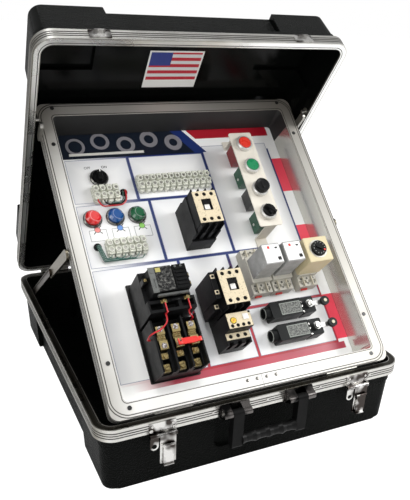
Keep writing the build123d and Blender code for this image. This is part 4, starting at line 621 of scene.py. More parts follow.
def coloured_rows(name, rows, default):
    """Plastic that changes colour from row to row up the panel"""
    paint = Paint(name, PANEL)
    y = paint.split()[1]
    surface = default
    for low, high, colour in rows:
        surface = paint.mix((y > low) * (y < high), surface, colour)
    tone = paint.noise(0.15)
    surface = paint.mix(tone * 0.35, surface, (0.0, 0.0, 0.0))
    return paint.finish(surface, paint.between(tone, 0.27, 0.45), normal=paint.bump(tone, 0.1, 0.0004))


def colour_setting(name, description, default):
    return bpy.props.FloatVectorProperty(
        name=name, description=description, default=default, subtype="COLOR", size=3, min=0.0, max=1.0
    )


def length_setting(name, description, default):
    return bpy.props.FloatProperty(name=name, description=description, default=default, min=0.1, unit="NONE")


class TrainerColours(bpy.types.PropertyGroup):
    """Colours that a user would change"""

    case: colour_setting("Case", "Moulded case halves", (0.002, 0.0024, 0.0021))
    band: colour_setting("Bands", "Aluminium bands of both case halves", (0.76, 0.75, 0.71))
    metal: colour_setting("Tray", "Aluminium of the tray", (0.74, 0.73, 0.70))
    panel: colour_setting("Panel", "White of the printed panel", (0.90, 0.90, 0.89))
    ivory: colour_setting("Device faces", "Front plates of contactor and overload relay", (0.64, 0.55, 0.38))
    device: colour_setting("Device bodies", "Bodies of contactors and starter", (0.0055, 0.0057, 0.006))
    station: colour_setting("Station", "Push-button station's plate", (0.66, 0.62, 0.54))


class TrainerSizes(bpy.types.PropertyGroup):
    """Sizes of small parts"""

    screw_radius: length_setting("Screw radius", "Head radius of terminal screws in millimetres", 2.3)
    rivet_radius: length_setting("Rivet radius", "Head radius of rivets in millimetres", 2.6)
    plate_thickness: length_setting("Face thickness", "Thickness of device face plates in millimetres", 1.2)


# Modelling helpers, all in local millimetres until a piece is mounted


def deselect():
    bpy.ops.object.select_all(action="DESELECT")


def activate(piece):
    deselect()
    piece.select_set(True)
    bpy.context.view_layer.objects.active = piece


def apply_place():
    bpy.ops.object.transform_apply(location=True, rotation=True, scale=True)


def new_box(centre, size):
    """Cube primitive at a local place and size"""
    deselect()
    bpy.ops.mesh.primitive_cube_add(size=1.0, location=centre, scale=size)
    apply_place()
    return bpy.context.active_object


def new_disc(foot, radius, height, sides=20):
    """Cylinder primitive that stands on its local place"""
    deselect()
    middle = (foot[0], foot[1], foot[2] + height / 2)
    bpy.ops.mesh.primitive_cylinder_add(vertices=sides, radius=radius, depth=height, location=middle)
    apply_place()
    return bpy.context.active_object


def pick_top(piece):
    """Select the faces that face outwards, and go into edit mode"""
    activate(piece)
    bpy.ops.object.mode_set(mode="EDIT")
    bpy.ops.mesh.select_all(action="DESELECT")
    bpy.ops.mesh.select_mode(type="FACE")
    bpy.ops.object.mode_set(mode="OBJECT")
    for face in piece.data.polygons:
        face.select = face.normal.z > 0.9
    bpy.ops.object.mode_set(mode="EDIT")


def inset_top(piece, margin, depth):
    """Inset the outward faces and push them by depth, in or out"""
    pick_top(piece)
    bpy.ops.mesh.inset(thickness=margin, depth=0.0, use_even_offset=True)
    bpy.ops.mesh.extrude_region_move(TRANSFORM_OT_translate={"value": (0, 0, depth)})
    bpy.ops.object.mode_set(mode="OBJECT")


def soften(piece, width, segments=2):
    """Bevel sharp edges and apply the modifier"""
    activate(piece)
    bevel = piece.modifiers.new("soft edges", "BEVEL")
    bevel.width = width
    bevel.segments = segments
    bevel.limit_method = "ANGLE"
    bevel.angle_limit = radians(35)
    bpy.ops.object.modifier_apply(modifier=bevel.name)
    bpy.ops.object.shade_smooth_by_angle(angle=radians(35))


def cut(piece, cutter):
    """Cut one closed shape out of another"""
    activate(piece)
    hole = piece.modifiers.new("cut", "BOOLEAN")
    hole.operation = "DIFFERENCE"
    hole.solver = "EXACT"
    hole.object = cutter
    bpy.ops.object.modifier_apply(modifier=hole.name)
    bpy.data.objects.remove(cutter)


def join(pieces):
    """Apply the places of like pieces and join them into the first"""
    deselect()
    for piece in pieces:
        piece.select_set(True)
    bpy.context.view_layer.objects.active = pieces[0]
    apply_place()
    if len(pieces) > 1:
        bpy.ops.object.join()
    return pieces[0]


def copies(template, places, turn=0.0):
    """Copy a template to places, each copy with its own mesh, and join them"""
    made = []
    for place in places:
        copy = template.copy()
        copy.data = template.data.copy()
        bpy.context.scene.collection.objects.link(copy)
        copy.matrix_world = Matrix.Translation(place) @ Matrix.Rotation(turn, 4, "Z")
        made.append(copy)
    bpy.data.objects.remove(template)
    return join(made)


def bore(piece, places, radius, low, high, sides=16):
    """Round holes through a piece at local places"""
    drill = new_disc((0, 0, low), radius, high - low, sides)
    cut(piece, copies(drill, [(u, v, 0.0) for u, v in places]))


def slab(centre, size, width=0.3, segments=1, inset=None, notch=None):
    """Box with soft edges, its top inset and moved or another box cut from it where given"""
    piece = new_box(centre, size)
    if inset:
        inset_top(piece, *inset)
    if notch:
        cut(piece, new_box(*notch))
    soften(piece, width, segments)
    return piece


def blocks(size, places, width=0.3):
    """Softened boxes that stand on local places, from one template"""
    return copies(slab((0, 0, size[2] / 2), size, width), places)


def studs(places, radius, height, sides, width, segments=2):
    """Softened discs that stand on local places, from one template"""
    stud = new_disc((0, 0, 0), radius, height, sides)
    soften(stud, width, segments)
    return copies(stud, places)


def screws(places, radius, height, turn=0.5):
    """Slotted screw heads at local places, from one template"""
    head = new_disc((0, 0, 0), radius, height, 14)
    cut(head, new_box((0, 0, height), (radius * 2.2, radius * 0.36, height * 0.9)))
    soften(head, radius * 0.1, 1)
    return copies(head, places, turn)


def rivets(places, radius):
    """Low domed rivet heads"""
    return studs(places, radius, radius * 0.5, 16, radius * 0.35, 3)


def tip(piece, angle, axis):
    """Turn a piece about a local axis through the origin"""
    activate(piece)
    bpy.ops.transform.rotate(value=angle, orient_axis=axis, center_override=(0, 0, 0))
    apply_place()


def lettering(words, size):
    """Flat generic marks, each a word at a local place, made meshes and joined"""
    made = []
    for word, (u, v) in words:
        deselect()
        bpy.ops.object.text_add()
        mark = bpy.context.active_object
        mark.data.body = word
        mark.data.size = size
        mark.data.align_x = "CENTER"
        mark.data.align_y = "CENTER"
        mark.data.extrude = 0.08
        bpy.ops.object.convert(target="MESH")
        mark.matrix_world = Matrix.Translation((u, v, 0.15))
        made.append(mark)
    return join(made)


def mount(piece, name, material, body="tray", matrix=PANEL):
    """Bring a piece from local millimetres into the row frame, then name, paint and mount it"""
    activate(piece)
    piece.matrix_world = matrix @ piece.matrix_world
    apply_place()
    piece.name = name
    piece.data.materials.clear()
    piece.data.materials.append(material)
    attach(piece, body)


def dress(material, *names):
    """Give carried-over nodes a material"""
    for name in names:
        materials = NODES[name].data.materials
        materials.clear()
        materials.append(material)


def round_edges(width, *names):
    """Live bevel on carried-over nodes"""
    for name in names:
        weld = NODES[name].modifiers.new("weld", "WELD")
        weld.merge_threshold = 0.00002
        bevel = NODES[name].modifiers.new("edges", "BEVEL")
        bevel.width = width * MILLIMETRE
        bevel.segments = 2
        bevel.limit_method = "ANGLE"
        bevel.angle_limit = radians(50)


# Studio in metres: lamps by place, size and power, and the camera that matches the photograph

STUDIO_LAMPS = {
    "key": ((2.3, -1.5, 1.9), 1.3, 62.0),
    "fill": ((-2.2, -2.0, 1.3), 2.0, 36.0),
    "top": ((-0.3, -0.5, 3.0), 1.6, 42.0),
}
LIT_POINT = Vector((0, 0, 0.25))
CAMERA_PLACE = (-0.44985, -0.9821, 0.6519)
CAMERA_TURN = radians(-26.19)
CAMERA_RISE = radians(25.08)
CAMERA_ROLL = radians(-2.56)
SENSOR_HEIGHT = 24.0
FOCAL_PIXELS = 624.0
PHOTO_HEIGHT = 500.0


class TRAINER_OT_stage(bpy.types.Operator):
    """Floor, light and the camera at the photograph's angle"""

    bl_idname = "trainer.stage"
    bl_label = "Stage"

    def execute(self, context):
        floor = new_box((0, 0, -0.005), (120.0, 120.0, 0.01))
        floor.name = "floor"
        soften(floor, 0.002)
        floor.data.materials.append(studio_white())
        for name, setting in STUDIO_LAMPS.items():
            self.light(name, *setting)
        context.scene.world = backdrop()
        self.camera(context)
        context.scene.view_settings.view_transform = "Standard"
        return {"FINISHED"}

    def light(self, name, place, size, power):
        deselect()
        bpy.ops.object.light_add(type="AREA", location=place)
        lamp = bpy.context.active_object
        lamp.name = name
        lamp.data.size = size
        lamp.data.energy = power
        lamp.rotation_euler = (LIT_POINT - Vector(place)).to_track_quat("-Z", "Y").to_euler()

    def camera(self, context):
        level = -cos(CAMERA_TURN) * cos(CAMERA_RISE)
        back = Vector((sin(CAMERA_TURN) * cos(CAMERA_RISE), level, sin(CAMERA_RISE)))
        right = (-back).cross(Vector((0, 0, 1))).normalized()
        down = (-back).cross(right).normalized()
        rolled_right = right * cos(CAMERA_ROLL) + down * sin(CAMERA_ROLL)
        rolled_down = down * cos(CAMERA_ROLL) - right * sin(CAMERA_ROLL)
        view = Matrix((rolled_right, -rolled_down, back)).transposed().to_4x4()
        deselect()
        bpy.ops.object.camera_add()
        camera = context.active_object
        camera.matrix_world = Matrix.Translation(CAMERA_PLACE) @ view
        camera.data.sensor_fit = "VERTICAL"
        camera.data.sensor_height = SENSOR_HEIGHT
        camera.data.lens = SENSOR_HEIGHT * FOCAL_PIXELS / PHOTO_HEIGHT
        camera.data.shift_y = 0.1
        camera.data.clip_end = 20.0
        context.scene.camera = camera


def studio_white():
    """Floor that shows near white to the camera and still takes the object's shadow"""
    paint = Paint("studio floor", WORLD)
    tone = paint.mix(paint.noise(0.004, 2.0), (0.86, 0.86, 0.86), (0.9, 0.9, 0.9))
    plain = paint.node("ShaderNodeBsdfPrincipled", None, {"Base Color": tone, "Roughness": 0.7})
    glow = paint.node("ShaderNodeEmission", None, {"Color": (1, 1, 1, 1), "Strength": 1.4})
    seen = paint.node("ShaderNodeLightPath", output="Is Camera Ray")
    return paint.close(paint.node("ShaderNodeMixShader", None, {0: seen * 0.72, 1: plain, 2: glow}))


def backdrop():
    """World: soft grey light, white where the camera looks at it or glass shows it"""
    paint = Paint("studio", library=bpy.data.worlds)
    seen = paint.node("ShaderNodeLightPath", output="Is Camera Ray")
    through = paint.node("ShaderNodeLightPath", output="Is Transmission Ray")
    strength = paint.ease(seen.most(through), 0.0, 1.0, 0.48, 1.0)
    shader = paint.node("ShaderNodeBackground", None, {"Color": (1, 1, 1, 1), "Strength": strength})
    return paint.close(shader, "ShaderNodeOutputWorld")


class TRAINER_OT_case(bpy.types.Operator):
    """Finishes of the case halves, bands and hardware, and the lid's label"""

    bl_idname = "trainer.case"
    bl_label = "Case"

    def execute(self, context):
        colours = context.scene.trainer_colours
        dress(grained_case("case base", colours.case), "base_shell")
        dress(grained_case("case lid", colours.case, LID, smooth_inside=True), "lid_shell")
        # Rim faces of painted light: painted shade on the base band, a painted highlight on the lid band
        base_band = banded_metal("band aluminium", colours.band, WORLD, BASE_RIM, -1, (0.05, 0.046, 0.036))
        dress(base_band, "base_band")
        dress(banded_metal("lid band aluminium", colours.band, LID, 0.0, 1, (0.92, 0.92, 0.90)), "lid_band")
        # The plating of latches, strikes and handle brackets carries painted reflections in light and dark
        # patches
        plated = chrome("plated steel", (0.70, 0.69, 0.67), (0.05, 0.042, 0.038))
        dress(plated, "latch_plates", "latch_lever_left", "latch_lever_right", "lid_strikes")
        dress(plated, "latch_hook_left", "latch_hook_right")
        dress(chrome("dark plating", (0.14, 0.13, 0.125), (0.008, 0.008, 0.008)), "handle_brackets")
        steel = metal("zinc steel", (0.40, 0.39, 0.36), 0.32, matrix=WORLD)
        dress(steel, "base_fittings", "base_hinge_leaves", "lid_hinge_leaves", "hinge_pins")
        dress(steel, "lid_prop_studs", "lid_props", "tray_fittings")
        dress(moulded_plastic("handle arms", (0.002, 0.002, 0.002), 0.5, matrix=WORLD), "handle_arms")
        dress(moulded_plastic("handle rubber", (0.006, 0.006, 0.006), 0.34, matrix=WORLD), "handle_grip")
        self.label()
        return {"FINISHED"}

    def label(self):
        low_x, low_y, high_x, high_y = LABEL
        centre = ((low_x + high_x) / 2, (low_y + high_y) / 2, LID_CORE - 4.3)
        piece = slab(centre, (high_x - low_x, high_y - low_y, 0.5), 0.2)
        mount(piece, "lid_label", striped_label("striped label", *LABEL), "lid", LID)


class TRAINER_OT_tray(bpy.types.Operator):
    """Finishes of the tray frame, printed panel and stays"""

    bl_idname = "trainer.tray"
    bl_label = "Tray and panel"

    def execute(self, context):
        colours = context.scene.trainer_colours
        dress(tray_metal("tray aluminium", colours.metal), "tray_frame")
        dress(printed_panel("panel print", colours.panel), "panel")
        dress(metal("stay bronze", (0.05, 0.036, 0.026), 0.34, matrix=WORLD), "stay_channels")
        dress(metal("stay steel", (0.20, 0.18, 0.135), 0.3, matrix=WORLD), "stay_sleeves")
        return {"FINISHED"}


BLACK_BODIES = ("contactor", "starter_contactor", "overload_relay", "starter_block", "starter_overload")
LIMIT_ROLLERS = ("limit_roller_upper", "limit_roller_lower")

# Contact blocks under the station by their row: low and high edge up the panel, and colour

CONTACT_GREEN = (0.01, 0.10, 0.05)
CONTACT_ROWS = (
    (415.0, 470.0, (0.26, 0.015, 0.02)),
    (365.0, 415.0, CONTACT_GREEN),
    (270.0, 320.0, CONTACT_GREEN),
)

# Plastics of the devices' solid pieces: colour, gloss, mottling and the pieces

PLASTICS = {
    "switch grey": ((0.010, 0.011, 0.011), 0.34, 0.25, ("limit_switches", *LIMIT_ROLLERS)),
    "white plastic": ((0.70, 0.69, 0.65), 0.35, 0.06, ("contactor_plunger", "starter_contactor_plunger")),
    "socket grey": ((0.46, 0.44, 0.38), 0.4, 0.25, ("relay_sockets",)),
    "relay smoke": ((0.30, 0.30, 0.29), 0.18, 0.5, ("relays",)),
    "timer cream": ((0.58, 0.50, 0.31), 0.4, 0.08, ("timer",)),
    "red cap": ((0.62, 0.035, 0.02), 0.28, 0.08, ("red_button",)),
    "reset red": ((0.62, 0.02, 0.015), 0.3, 0.08, ("reset_bar",)),
    "green cap": ((0.005, 0.20, 0.075), 0.28, 0.25, ("green_button",)),
    "dial yellow": ((0.62, 0.42, 0.03), 0.35, 0.25, ("overload_dial",)),
    "red insulation": ((0.45, 0.01, 0.015), 0.35, 0.25, ("wires_red",)),
    "black insulation": (NEAR_BLACK, 0.35, 0.25, ("wires_black",)),
}


class TRAINER_OT_devices(bpy.types.Operator):
    """Finishes of the devices on the panel"""

    bl_idname = "trainer.devices"
    bl_label = "Devices"

    def execute(self, context):
        self.plastics(context.scene.trainer_colours)
        self.metals()
        dress(milky_plastic("terminal plastic", (0.80, 0.81, 0.70)), "terminal_strip", "pigtail_terminals")
        dress(lamp_glass("pilot lenses"), "lamp_lenses")
        dress(coloured_rows("contact block colours", CONTACT_ROWS, (0.03, 0.03, 0.032)), "contact_blocks")
        # The green wires' pale second colour is a painted highlight
        dress(stranded("green insulation", (0.006, 0.085, 0.065), (0.42, 0.50, 0.44)), "wires_green")
        round_edges(0.5, *BLACK_BODIES)
        round_edges(0.6, "relays", "timer", "station_plate", "limit_switches", "relay_sockets")
        return {"FINISHED"}

    def plastics(self, colours):
        body = moulded_plastic("device black", colours.device, 0.38)
        dress(body, *BLACK_BODIES)
        dress(body, "power_knob", "black_knob", "selector_knob", "timer_dial", "grommets")
        dress(moulded_plastic("station enamel", colours.station, 0.35, 0.06), "station_plate")
        for name, (colour, gloss, mottling, pieces) in PLASTICS.items():
            dress(moulded_plastic(name, colour, gloss, mottling), *pieces)

    def metals(self):
        dress(metal("bezel metal", (0.16, 0.16, 0.155), 0.25), "panel_operators")
        dress(metal("bezel plating", (0.66, 0.65, 0.62), 0.3, metallic=0.55), "button_bezels")
        dress(metal("starter base plate", INK, 0.35), "starter_plate")
        dress(metal("heater brass", (0.44, 0.35, 0.16), 0.32, 0.4), "starter_heaters")
        dress(metal("lever steel", (0.34, 0.34, 0.33), 0.32), "limit_lever_upper", "limit_lever_lower")


# Places and sizes of the devices' small parts on the panel, in its own millimetres

SINK = 0.05
CONTACTOR_U = -14.0
CONTACTORS = {"contactor": 305.0, "starter_contactor": 161.0}
FACE_WIDTH = 42.0
FACE_LENGTH = 58.0
FACE_TOP = 82.0
POLE_PITCH = 13.0
POLES = [CONTACTOR_U + pole * POLE_PITCH for pole in (-1, 0, 1)]
SCREW_ROW = 23.0
SCREW_HEIGHT = 0.8
HOLE_SHARE = 1.45
WINDOW_SIZE = (17.0, 21.0, 6.0)
WALL_SIZE = (1.8, 5.8, 23.2)
WALL_ROW = 32.0
WALL_FOOT = 58.0
SIDE_U = -41.7
SIDE_PADS = ((184.0, 75.2), (157.0, 75.2), (139.0, 57.9))
PAD_HEIGHT = 1.2
RELAY_V = 109.6
RELAY_TOP = 66.0
RELAY_STEP = 44.0
RELAY_PORTS_V = RELAY_V - 19.0
RELAY_ROW_V = RELAY_V - 8.6
RELAY_ROW_STEPS = (-15.0, -5.5, 4.5, 14.0)
DIAL_U = CONTACTOR_U - 11.0
DIAL_HOLE = 5.6
HEATER_U = (-143.3, -118.0, -92.7)
HEATER_TOP = 59.0
HEATER_ROWS = (119.0, 92.6)
TURN_PITCH = 3.4
LUG_V = 63.0
TAB_V = 79.5
COIL_U = -143.6
COVER_U = -99.0
RIB_PITCH = 6.4
CROSSBAR_FEET = ((-130.7, 156.4), (-92.7, 157.2))
CROSSBAR_TOP = 73.9
FORK_U = {"left": -119.0, "right": -88.5}
FORK_HEIGHT = 65.9
LEADS_U = {"left": -129.8, "right": -91.8}
LEAD_RADIUS = 1.15
LEAD_LENGTH = 16.5
LEAD_FOOT_V = 138.4
SHOULDERS = ((-83.8, 192.0), (-83.8, 178.0), (-152.6, 192.0))
RELAYS_U = (70.0, 111.0)
TIMER_U = 163.0
SOCKETS_U = (*RELAYS_U, TIMER_U)
SOCKET_V = 204.0
SOCKET_ROWS = (167.5, 176.5, 231.0, 240.0)
SOCKET_PITCH = 12.5
SOCKET_TIER = 20.0
FIN_ROWS = (172.0, 235.5)
FIN_STEP = 8.8
CLIP_V = 160.8
RELAY_COVER = 88.0
TIMER_TOP = 82.0
TICK_CIRCLE = 10.6
TICK_HEIGHT = 87.25
LIMITS = {"upper": 127.0, "lower": 86.0}
LIMIT_COVER_U = 107.0
LIMIT_SCREWS = ((130.0, 6.0), (129.6, -1.6), (130.0, -12.0))
LIMIT_PORT_U = 59.6
PORT_HEIGHT = 13.5
HUB_U = 144.0
ROLLER_U = 175.0
STATION_U = 111.0
OPERATOR_V = (440.25, 392.75, 345.25, 297.75)
SELECTOR_TURN = radians(-48.0)
POINTER_REACH = 8.6
POWER = (-155.0, 423.0)
WORDS_UP = 22.0
NUMBERS_UP = 18.0
WAY_PITCH = 11.6
WAY_ROW = 6.0
ENTRY_ROW = 13.0
TOWER_FOOT = 9.0
TOWER_HEIGHT = 7.4
WELL_DEPTH = 2.1
TERMINALS = {"strip": (-23.0, 403.0, 12), "power": (-152.0, 389.0, 4), "lamps": (-141.0, 286.0, 6)}

# Fixings: the tray's lip screws and splice rivets, the band's rivets and the latches' own

LIP_SCREWS = ((218, 534), (230, 463), (230, 85), (215, 15))
SPLICE_U = (-23.5, -6.6, 10.6, 27.8)
SPLICE_V = 16.2
BAND_RIVETS_U = (-92.0, 1.5, 100.0, 199.0)
BAND_RIVETS_UP = 106.5
LATCH_TOP = 1.4


def at_height(places, height):
    """Local places of a face, raised to a height"""
    return [(u, v, height) for u, v in places]


def ways_across(middle, ways):
    """Places of a terminal strip's ways across the panel"""
    return [middle + (way - (ways - 1) / 2) * WAY_PITCH for way in range(ways)]


def dark_screws():
    return metal("terminal screws", (0.02, 0.02, 0.02), 0.3)


def warm_brass():
    return metal("starter brass", (0.42, 0.33, 0.15), 0.26)


class TRAINER_OT_contactors(bpy.types.Operator):
    """Front plates, screws and barriers of both contactors, and the lower one's side block"""

    bl_idname = "trainer.contactors"
    bl_label = "Contactors"

    def execute(self, context):
        colours = context.scene.trainer_colours
        sizes = context.scene.trainer_sizes
        ivory = printed_ivory("ivory face", colours.ivory)
        black = moulded_plastic("contactor black", colours.device, 0.35)
        dark = dark_screws()
        for name, middle in CONTACTORS.items():
            self.face(name, middle, sizes, ivory, dark)
            notch = ((CONTACTOR_U, middle + 11.5, FACE_TOP + 2.4), (6.5, 5.0, 3.2))
            guide = slab((CONTACTOR_U, middle + 9.0, FACE_TOP + 1.3), (15.5, 8.0, 2.6), notch=notch)
            mount(guide, f"{name}_guide", black)
            walls = [CONTACTOR_U + step * POLE_PITCH for step in (-1.5, -0.5, 0.5, 1.5)]
            places = [(u, middle + end * WALL_ROW, WALL_FOOT) for end in (-1, 1) for u in walls]
            mount(blocks(WALL_SIZE, places), f"{name}_barriers", black)
        self.side_block(ivory, black, dark)
        return {"FINISHED"}

    def face(self, name, middle, sizes, ivory, dark):
        """Plate with its terminal holes, window and screws"""
        thick = sizes.plate_thickness
        poles = [(u, middle + end * SCREW_ROW) for end in (-1, 1) for u in POLES]
        plate = new_box((CONTACTOR_U, middle, FACE_TOP + thick / 2), (FACE_WIDTH, FACE_LENGTH, thick))
        bore(plate, poles, sizes.screw_radius * HOLE_SHARE, FACE_TOP - 1.0, FACE_TOP + thick + 1.0)
        cut(plate, new_box((CONTACTOR_U, middle + 3.5, FACE_TOP), WINDOW_SIZE))
        soften(plate, 0.3, 1)
        mount(plate, f"{name}_face", ivory)
        heads = screws(at_height(poles, FACE_TOP + SINK), sizes.screw_radius, SCREW_HEIGHT)
        mount(heads, f"{name}_screws", dark)

    def side_block(self, ivory, black, dark):
        """Auxiliary contact block clipped to the lower contactor's left side"""
        body = slab((SIDE_U, 169.0, 42.0), (9.8, 46.0, 68.0), 0.6, inset=(1.2, -0.8))
        foot = slab((SIDE_U, 138.8, 33.0), (9.8, 13.6, 50.0), 0.6)
        pads = blocks((7.0, 7.0, PAD_HEIGHT), [(SIDE_U, v, h) for v, h in SIDE_PADS])
        heads = screws([(SIDE_U, v, h + PAD_HEIGHT - SINK) for v, h in SIDE_PADS], 2.1, SCREW_HEIGHT)
        mount(body, "side_block", black)
        mount(foot, "side_block_foot", black)
        mount(pads, "side_block_pads", ivory)
        mount(heads, "side_block_screws", dark)


class TRAINER_OT_overload(bpy.types.Operator):
    """Two-level front of the overload relay with its reset cap, dial hub and screws"""

    bl_idname = "trainer.overload"
    bl_label = "Overload relay"

    def execute(self, context):
        ivory = printed_ivory("relay face", context.scene.trainer_colours.ivory)
        radius = context.scene.trainer_sizes.screw_radius
        row = [(CONTACTOR_U + step, RELAY_ROW_V) for step in RELAY_ROW_STEPS]
        ports = [(u, RELAY_PORTS_V) for u in POLES]
        upper = new_box((CONTACTOR_U, RELAY_V, RELAY_TOP + 0.6), (FACE_WIDTH, 25.0, 1.2))
        bore(upper, [(DIAL_U, RELAY_V)], DIAL_HOLE, RELAY_TOP - 1.0, RELAY_TOP + 3.0, 28)
        bore(upper, row, radius * 1.3, RELAY_TOP - 1.0, RELAY_TOP + 3.0)
        cut(upper, new_box((CONTACTOR_U + 21.0, RELAY_V + 12.5, RELAY_TOP), (7.0, 7.0, 6.0)))
        lower = new_box((CONTACTOR_U, RELAY_PORTS_V, RELAY_STEP + 0.6), (FACE_WIDTH, 11.0, 1.2))
        bore(lower, ports, radius * HOLE_SHARE, RELAY_STEP - 1.0, RELAY_STEP + 3.0)
        for level, face in (("upper", upper), ("lower", lower)):
            soften(face, 0.3, 1)
            mount(face, f"overload_face_{level}", ivory)
        places = at_height(row, RELAY_TOP + SINK) + at_height(ports, RELAY_STEP + SINK)
        mount(screws(places, radius, SCREW_HEIGHT), "overload_screws", dark_screws())
        cap = slab((CONTACTOR_U + 11.0, RELAY_V + 3.5, RELAY_TOP + 1.9), (9.5, 9.5, 1.6), 0.4, 2, (1.0, 0.5))
        white = moulded_plastic("reset cap", (0.74, 0.73, 0.69), 0.3, 0.05)
        mount(cap, "overload_reset_cap", white)
        orange = moulded_plastic("dial centre", (0.72, 0.16, 0.02), 0.3)
        hub = studs([(DIAL_U, RELAY_V, 67.2)], 1.3, 1.3, 16, 0.2, 1)
        mount(hub, "overload_dial_hub", orange, "overload_dial")
        return {"FINISHED"}


class TRAINER_OT_starter(bpy.types.Operator):
    """Nameplate, contact cover, terminals, heaters and wire ends of the large starter"""

    bl_idname = "trainer.starter"
    bl_label = "Large starter"

    def execute(self, context):
        black = moulded_plastic("starter black", context.scene.trainer_colours.device, 0.32)
        pale = moulded_plastic("coil cover", (0.10, 0.105, 0.10), 0.28, 0.5)
        brass = warm_brass()
        self.front(pale)
        self.crossbar(black, brass)
        self.contact_cover(black, pale, brass)
        self.heaters(brass)
        self.load_side(brass)
        self.reset_forks()
        self.leads()
        return {"FINISHED"}

    def front(self, pale):
        """Silver plate with a yellow tag, coil cover with its screw, and grey bar"""
        silver = worn_black("nameplate", (0.36, 0.36, 0.33))
        mount(slab((-124.8, 187.0, 90.4), (27.0, 40.0, 0.8), 0.2), "starter_nameplate", silver)
        yellow = moulded_plastic("yellow tag", (0.36, 0.32, 0.09), 0.4)
        mount(slab((-133.0, 201.5, 91.0), (8.0, 7.0, 0.4), 0.1), "starter_tag", yellow)
        slot = ((COIL_U, 180.0, 91.8), (2.6, 15.0, 2.4))
        cover = slab((COIL_U, 186.0, 90.9), (9.4, 41.0, 1.8), 0.4, notch=slot)
        mount(cover, "starter_coil_cover", pale)
        mount(screws([(COIL_U, 199.5, 91.7)], 3.2, 1.2), "starter_coil_screw", pale)
        grey = moulded_plastic("bar grey", (0.075, 0.078, 0.075), 0.3)
        mount(slab((-116.0, 162.8, 84.0), (50.0, 3.4, 6.6), 0.5), "starter_bar", grey)

    def crossbar(self, black, brass):
        """Brass terminals on the crossbar and the boss between them"""
        plates = blocks((10.0, 5.4, 0.9), at_height(CROSSBAR_FEET, CROSSBAR_TOP), 0.2)
        mount(plates, "crossbar_plates", brass)
        tops = at_height(CROSSBAR_FEET, CROSSBAR_TOP + 0.9 - SINK)
        mount(screws(tops, 2.9, 3.0), "crossbar_screws", brass)
        mount(slab((-112.0, 157.2, 75.2), (14.0, 4.8, 2.6), 0.8, 2), "crossbar_boss", black)

    def contact_cover(self, black, pale, brass):
        """Contact cover with ribs and screws, and the posts of the side terminals"""
        base = slab((COVER_U, 187.0, 91.2), (22.0, 39.0, 2.4), 0.4, inset=(1.4, -0.9))
        mount(base, "contact_cover", black)
        ribs = [(COVER_U, 174.0 + row * RIB_PITCH, 91.4) for row in range(5)]
        mount(blocks((16.0, 2.6, 2.4), ribs), "contact_ribs", black)
        dots = at_height([(-105.0, 203.6), (-95.5, 203.6)], 91.4)
        mount(screws(dots, 1.9, 1.4), "contact_screws", pale)
        posts = blocks((6.4, 9.0, 17.0), at_height(SHOULDERS, 62.0), 0.6)
        mount(posts, "shoulder_posts", black)
        mount(screws(at_height(SHOULDERS, 79.0), 2.5, 1.6), "shoulder_screws", brass)

    def heaters(self, brass):
        """Heater screws and lugs, and the wound elements as ribbed blocks"""
        # The heater screws carry painted reflections in light and dark patches
        bright = chrome("heater screws", (0.86, 0.83, 0.84), (0.34, 0.28, 0.24), 0.3)
        places = [(u, v, HEATER_TOP - SINK) for u in HEATER_U for v in HEATER_ROWS]
        mount(screws(places, 4.6, 1.2, 0.9), "heater_screws", bright)
        mount(screws([(u, LUG_V, 41.9) for u in HEATER_U], 4.6, 4.4, 0.2), "load_screws", brass)
        turns = [(u, 99.0 + turn * TURN_PITCH, 54.8) for u in HEATER_U for turn in range(5)]
        mount(blocks((12.0, 2.2, 2.0), turns, 0.5), "heater_elements", brass)

    def load_side(self, brass):
        """Load terminals above the lugs"""
        tabs = blocks((11.0, 9.5, 3.0), [(u, TAB_V, 45.9) for u in HEATER_U], 0.4)
        mount(tabs, "load_tabs", brass)
        heads = screws([(u + 0.5, TAB_V - 0.5, 48.8) for u in HEATER_U], 4.0, 3.4, 1.1)
        mount(heads, "load_tab_screws", brass)

    def reset_forks(self):
        """Forked and plain end of the reset bar"""
        red = moulded_plastic("fork red", (0.66, 0.03, 0.02), 0.3)
        gap = ((FORK_U["left"], 95.2, FORK_HEIGHT), (3.0, 6.0, 5.0))
        left = slab((FORK_U["left"], 92.8, FORK_HEIGHT), (8.0, 9.6, 3.6), 0.5, 2, notch=gap)
        right = slab((FORK_U["right"], 91.6, FORK_HEIGHT), (7.6, 7.0, 3.4), 0.8, 2)
        mount(left, "reset_fork_left", red, "reset_bar")
        mount(right, "reset_fork_right", red, "reset_bar")

    def leads(self):
        """Wire ends that run over the crossbar's edge to its screws"""
        red = moulded_plastic("lead red", (0.50, 0.012, 0.018), 0.35)
        for side, u in LEADS_U.items():
            run = new_disc((0, 0, -LEAD_LENGTH / 2), LEAD_RADIUS, LEAD_LENGTH, 10)
            tip(run, radians(-90), "X")
            run.location = (u, LEAD_FOOT_V + LEAD_LENGTH / 2, 76.0)
            drop = studs([(u, LEAD_FOOT_V + 0.2, 65.6)], LEAD_RADIUS, 11.4, 10, 0.4)
            mount(run, f"lead_{side}_run", red)
            mount(drop, f"lead_{side}_drop", red)


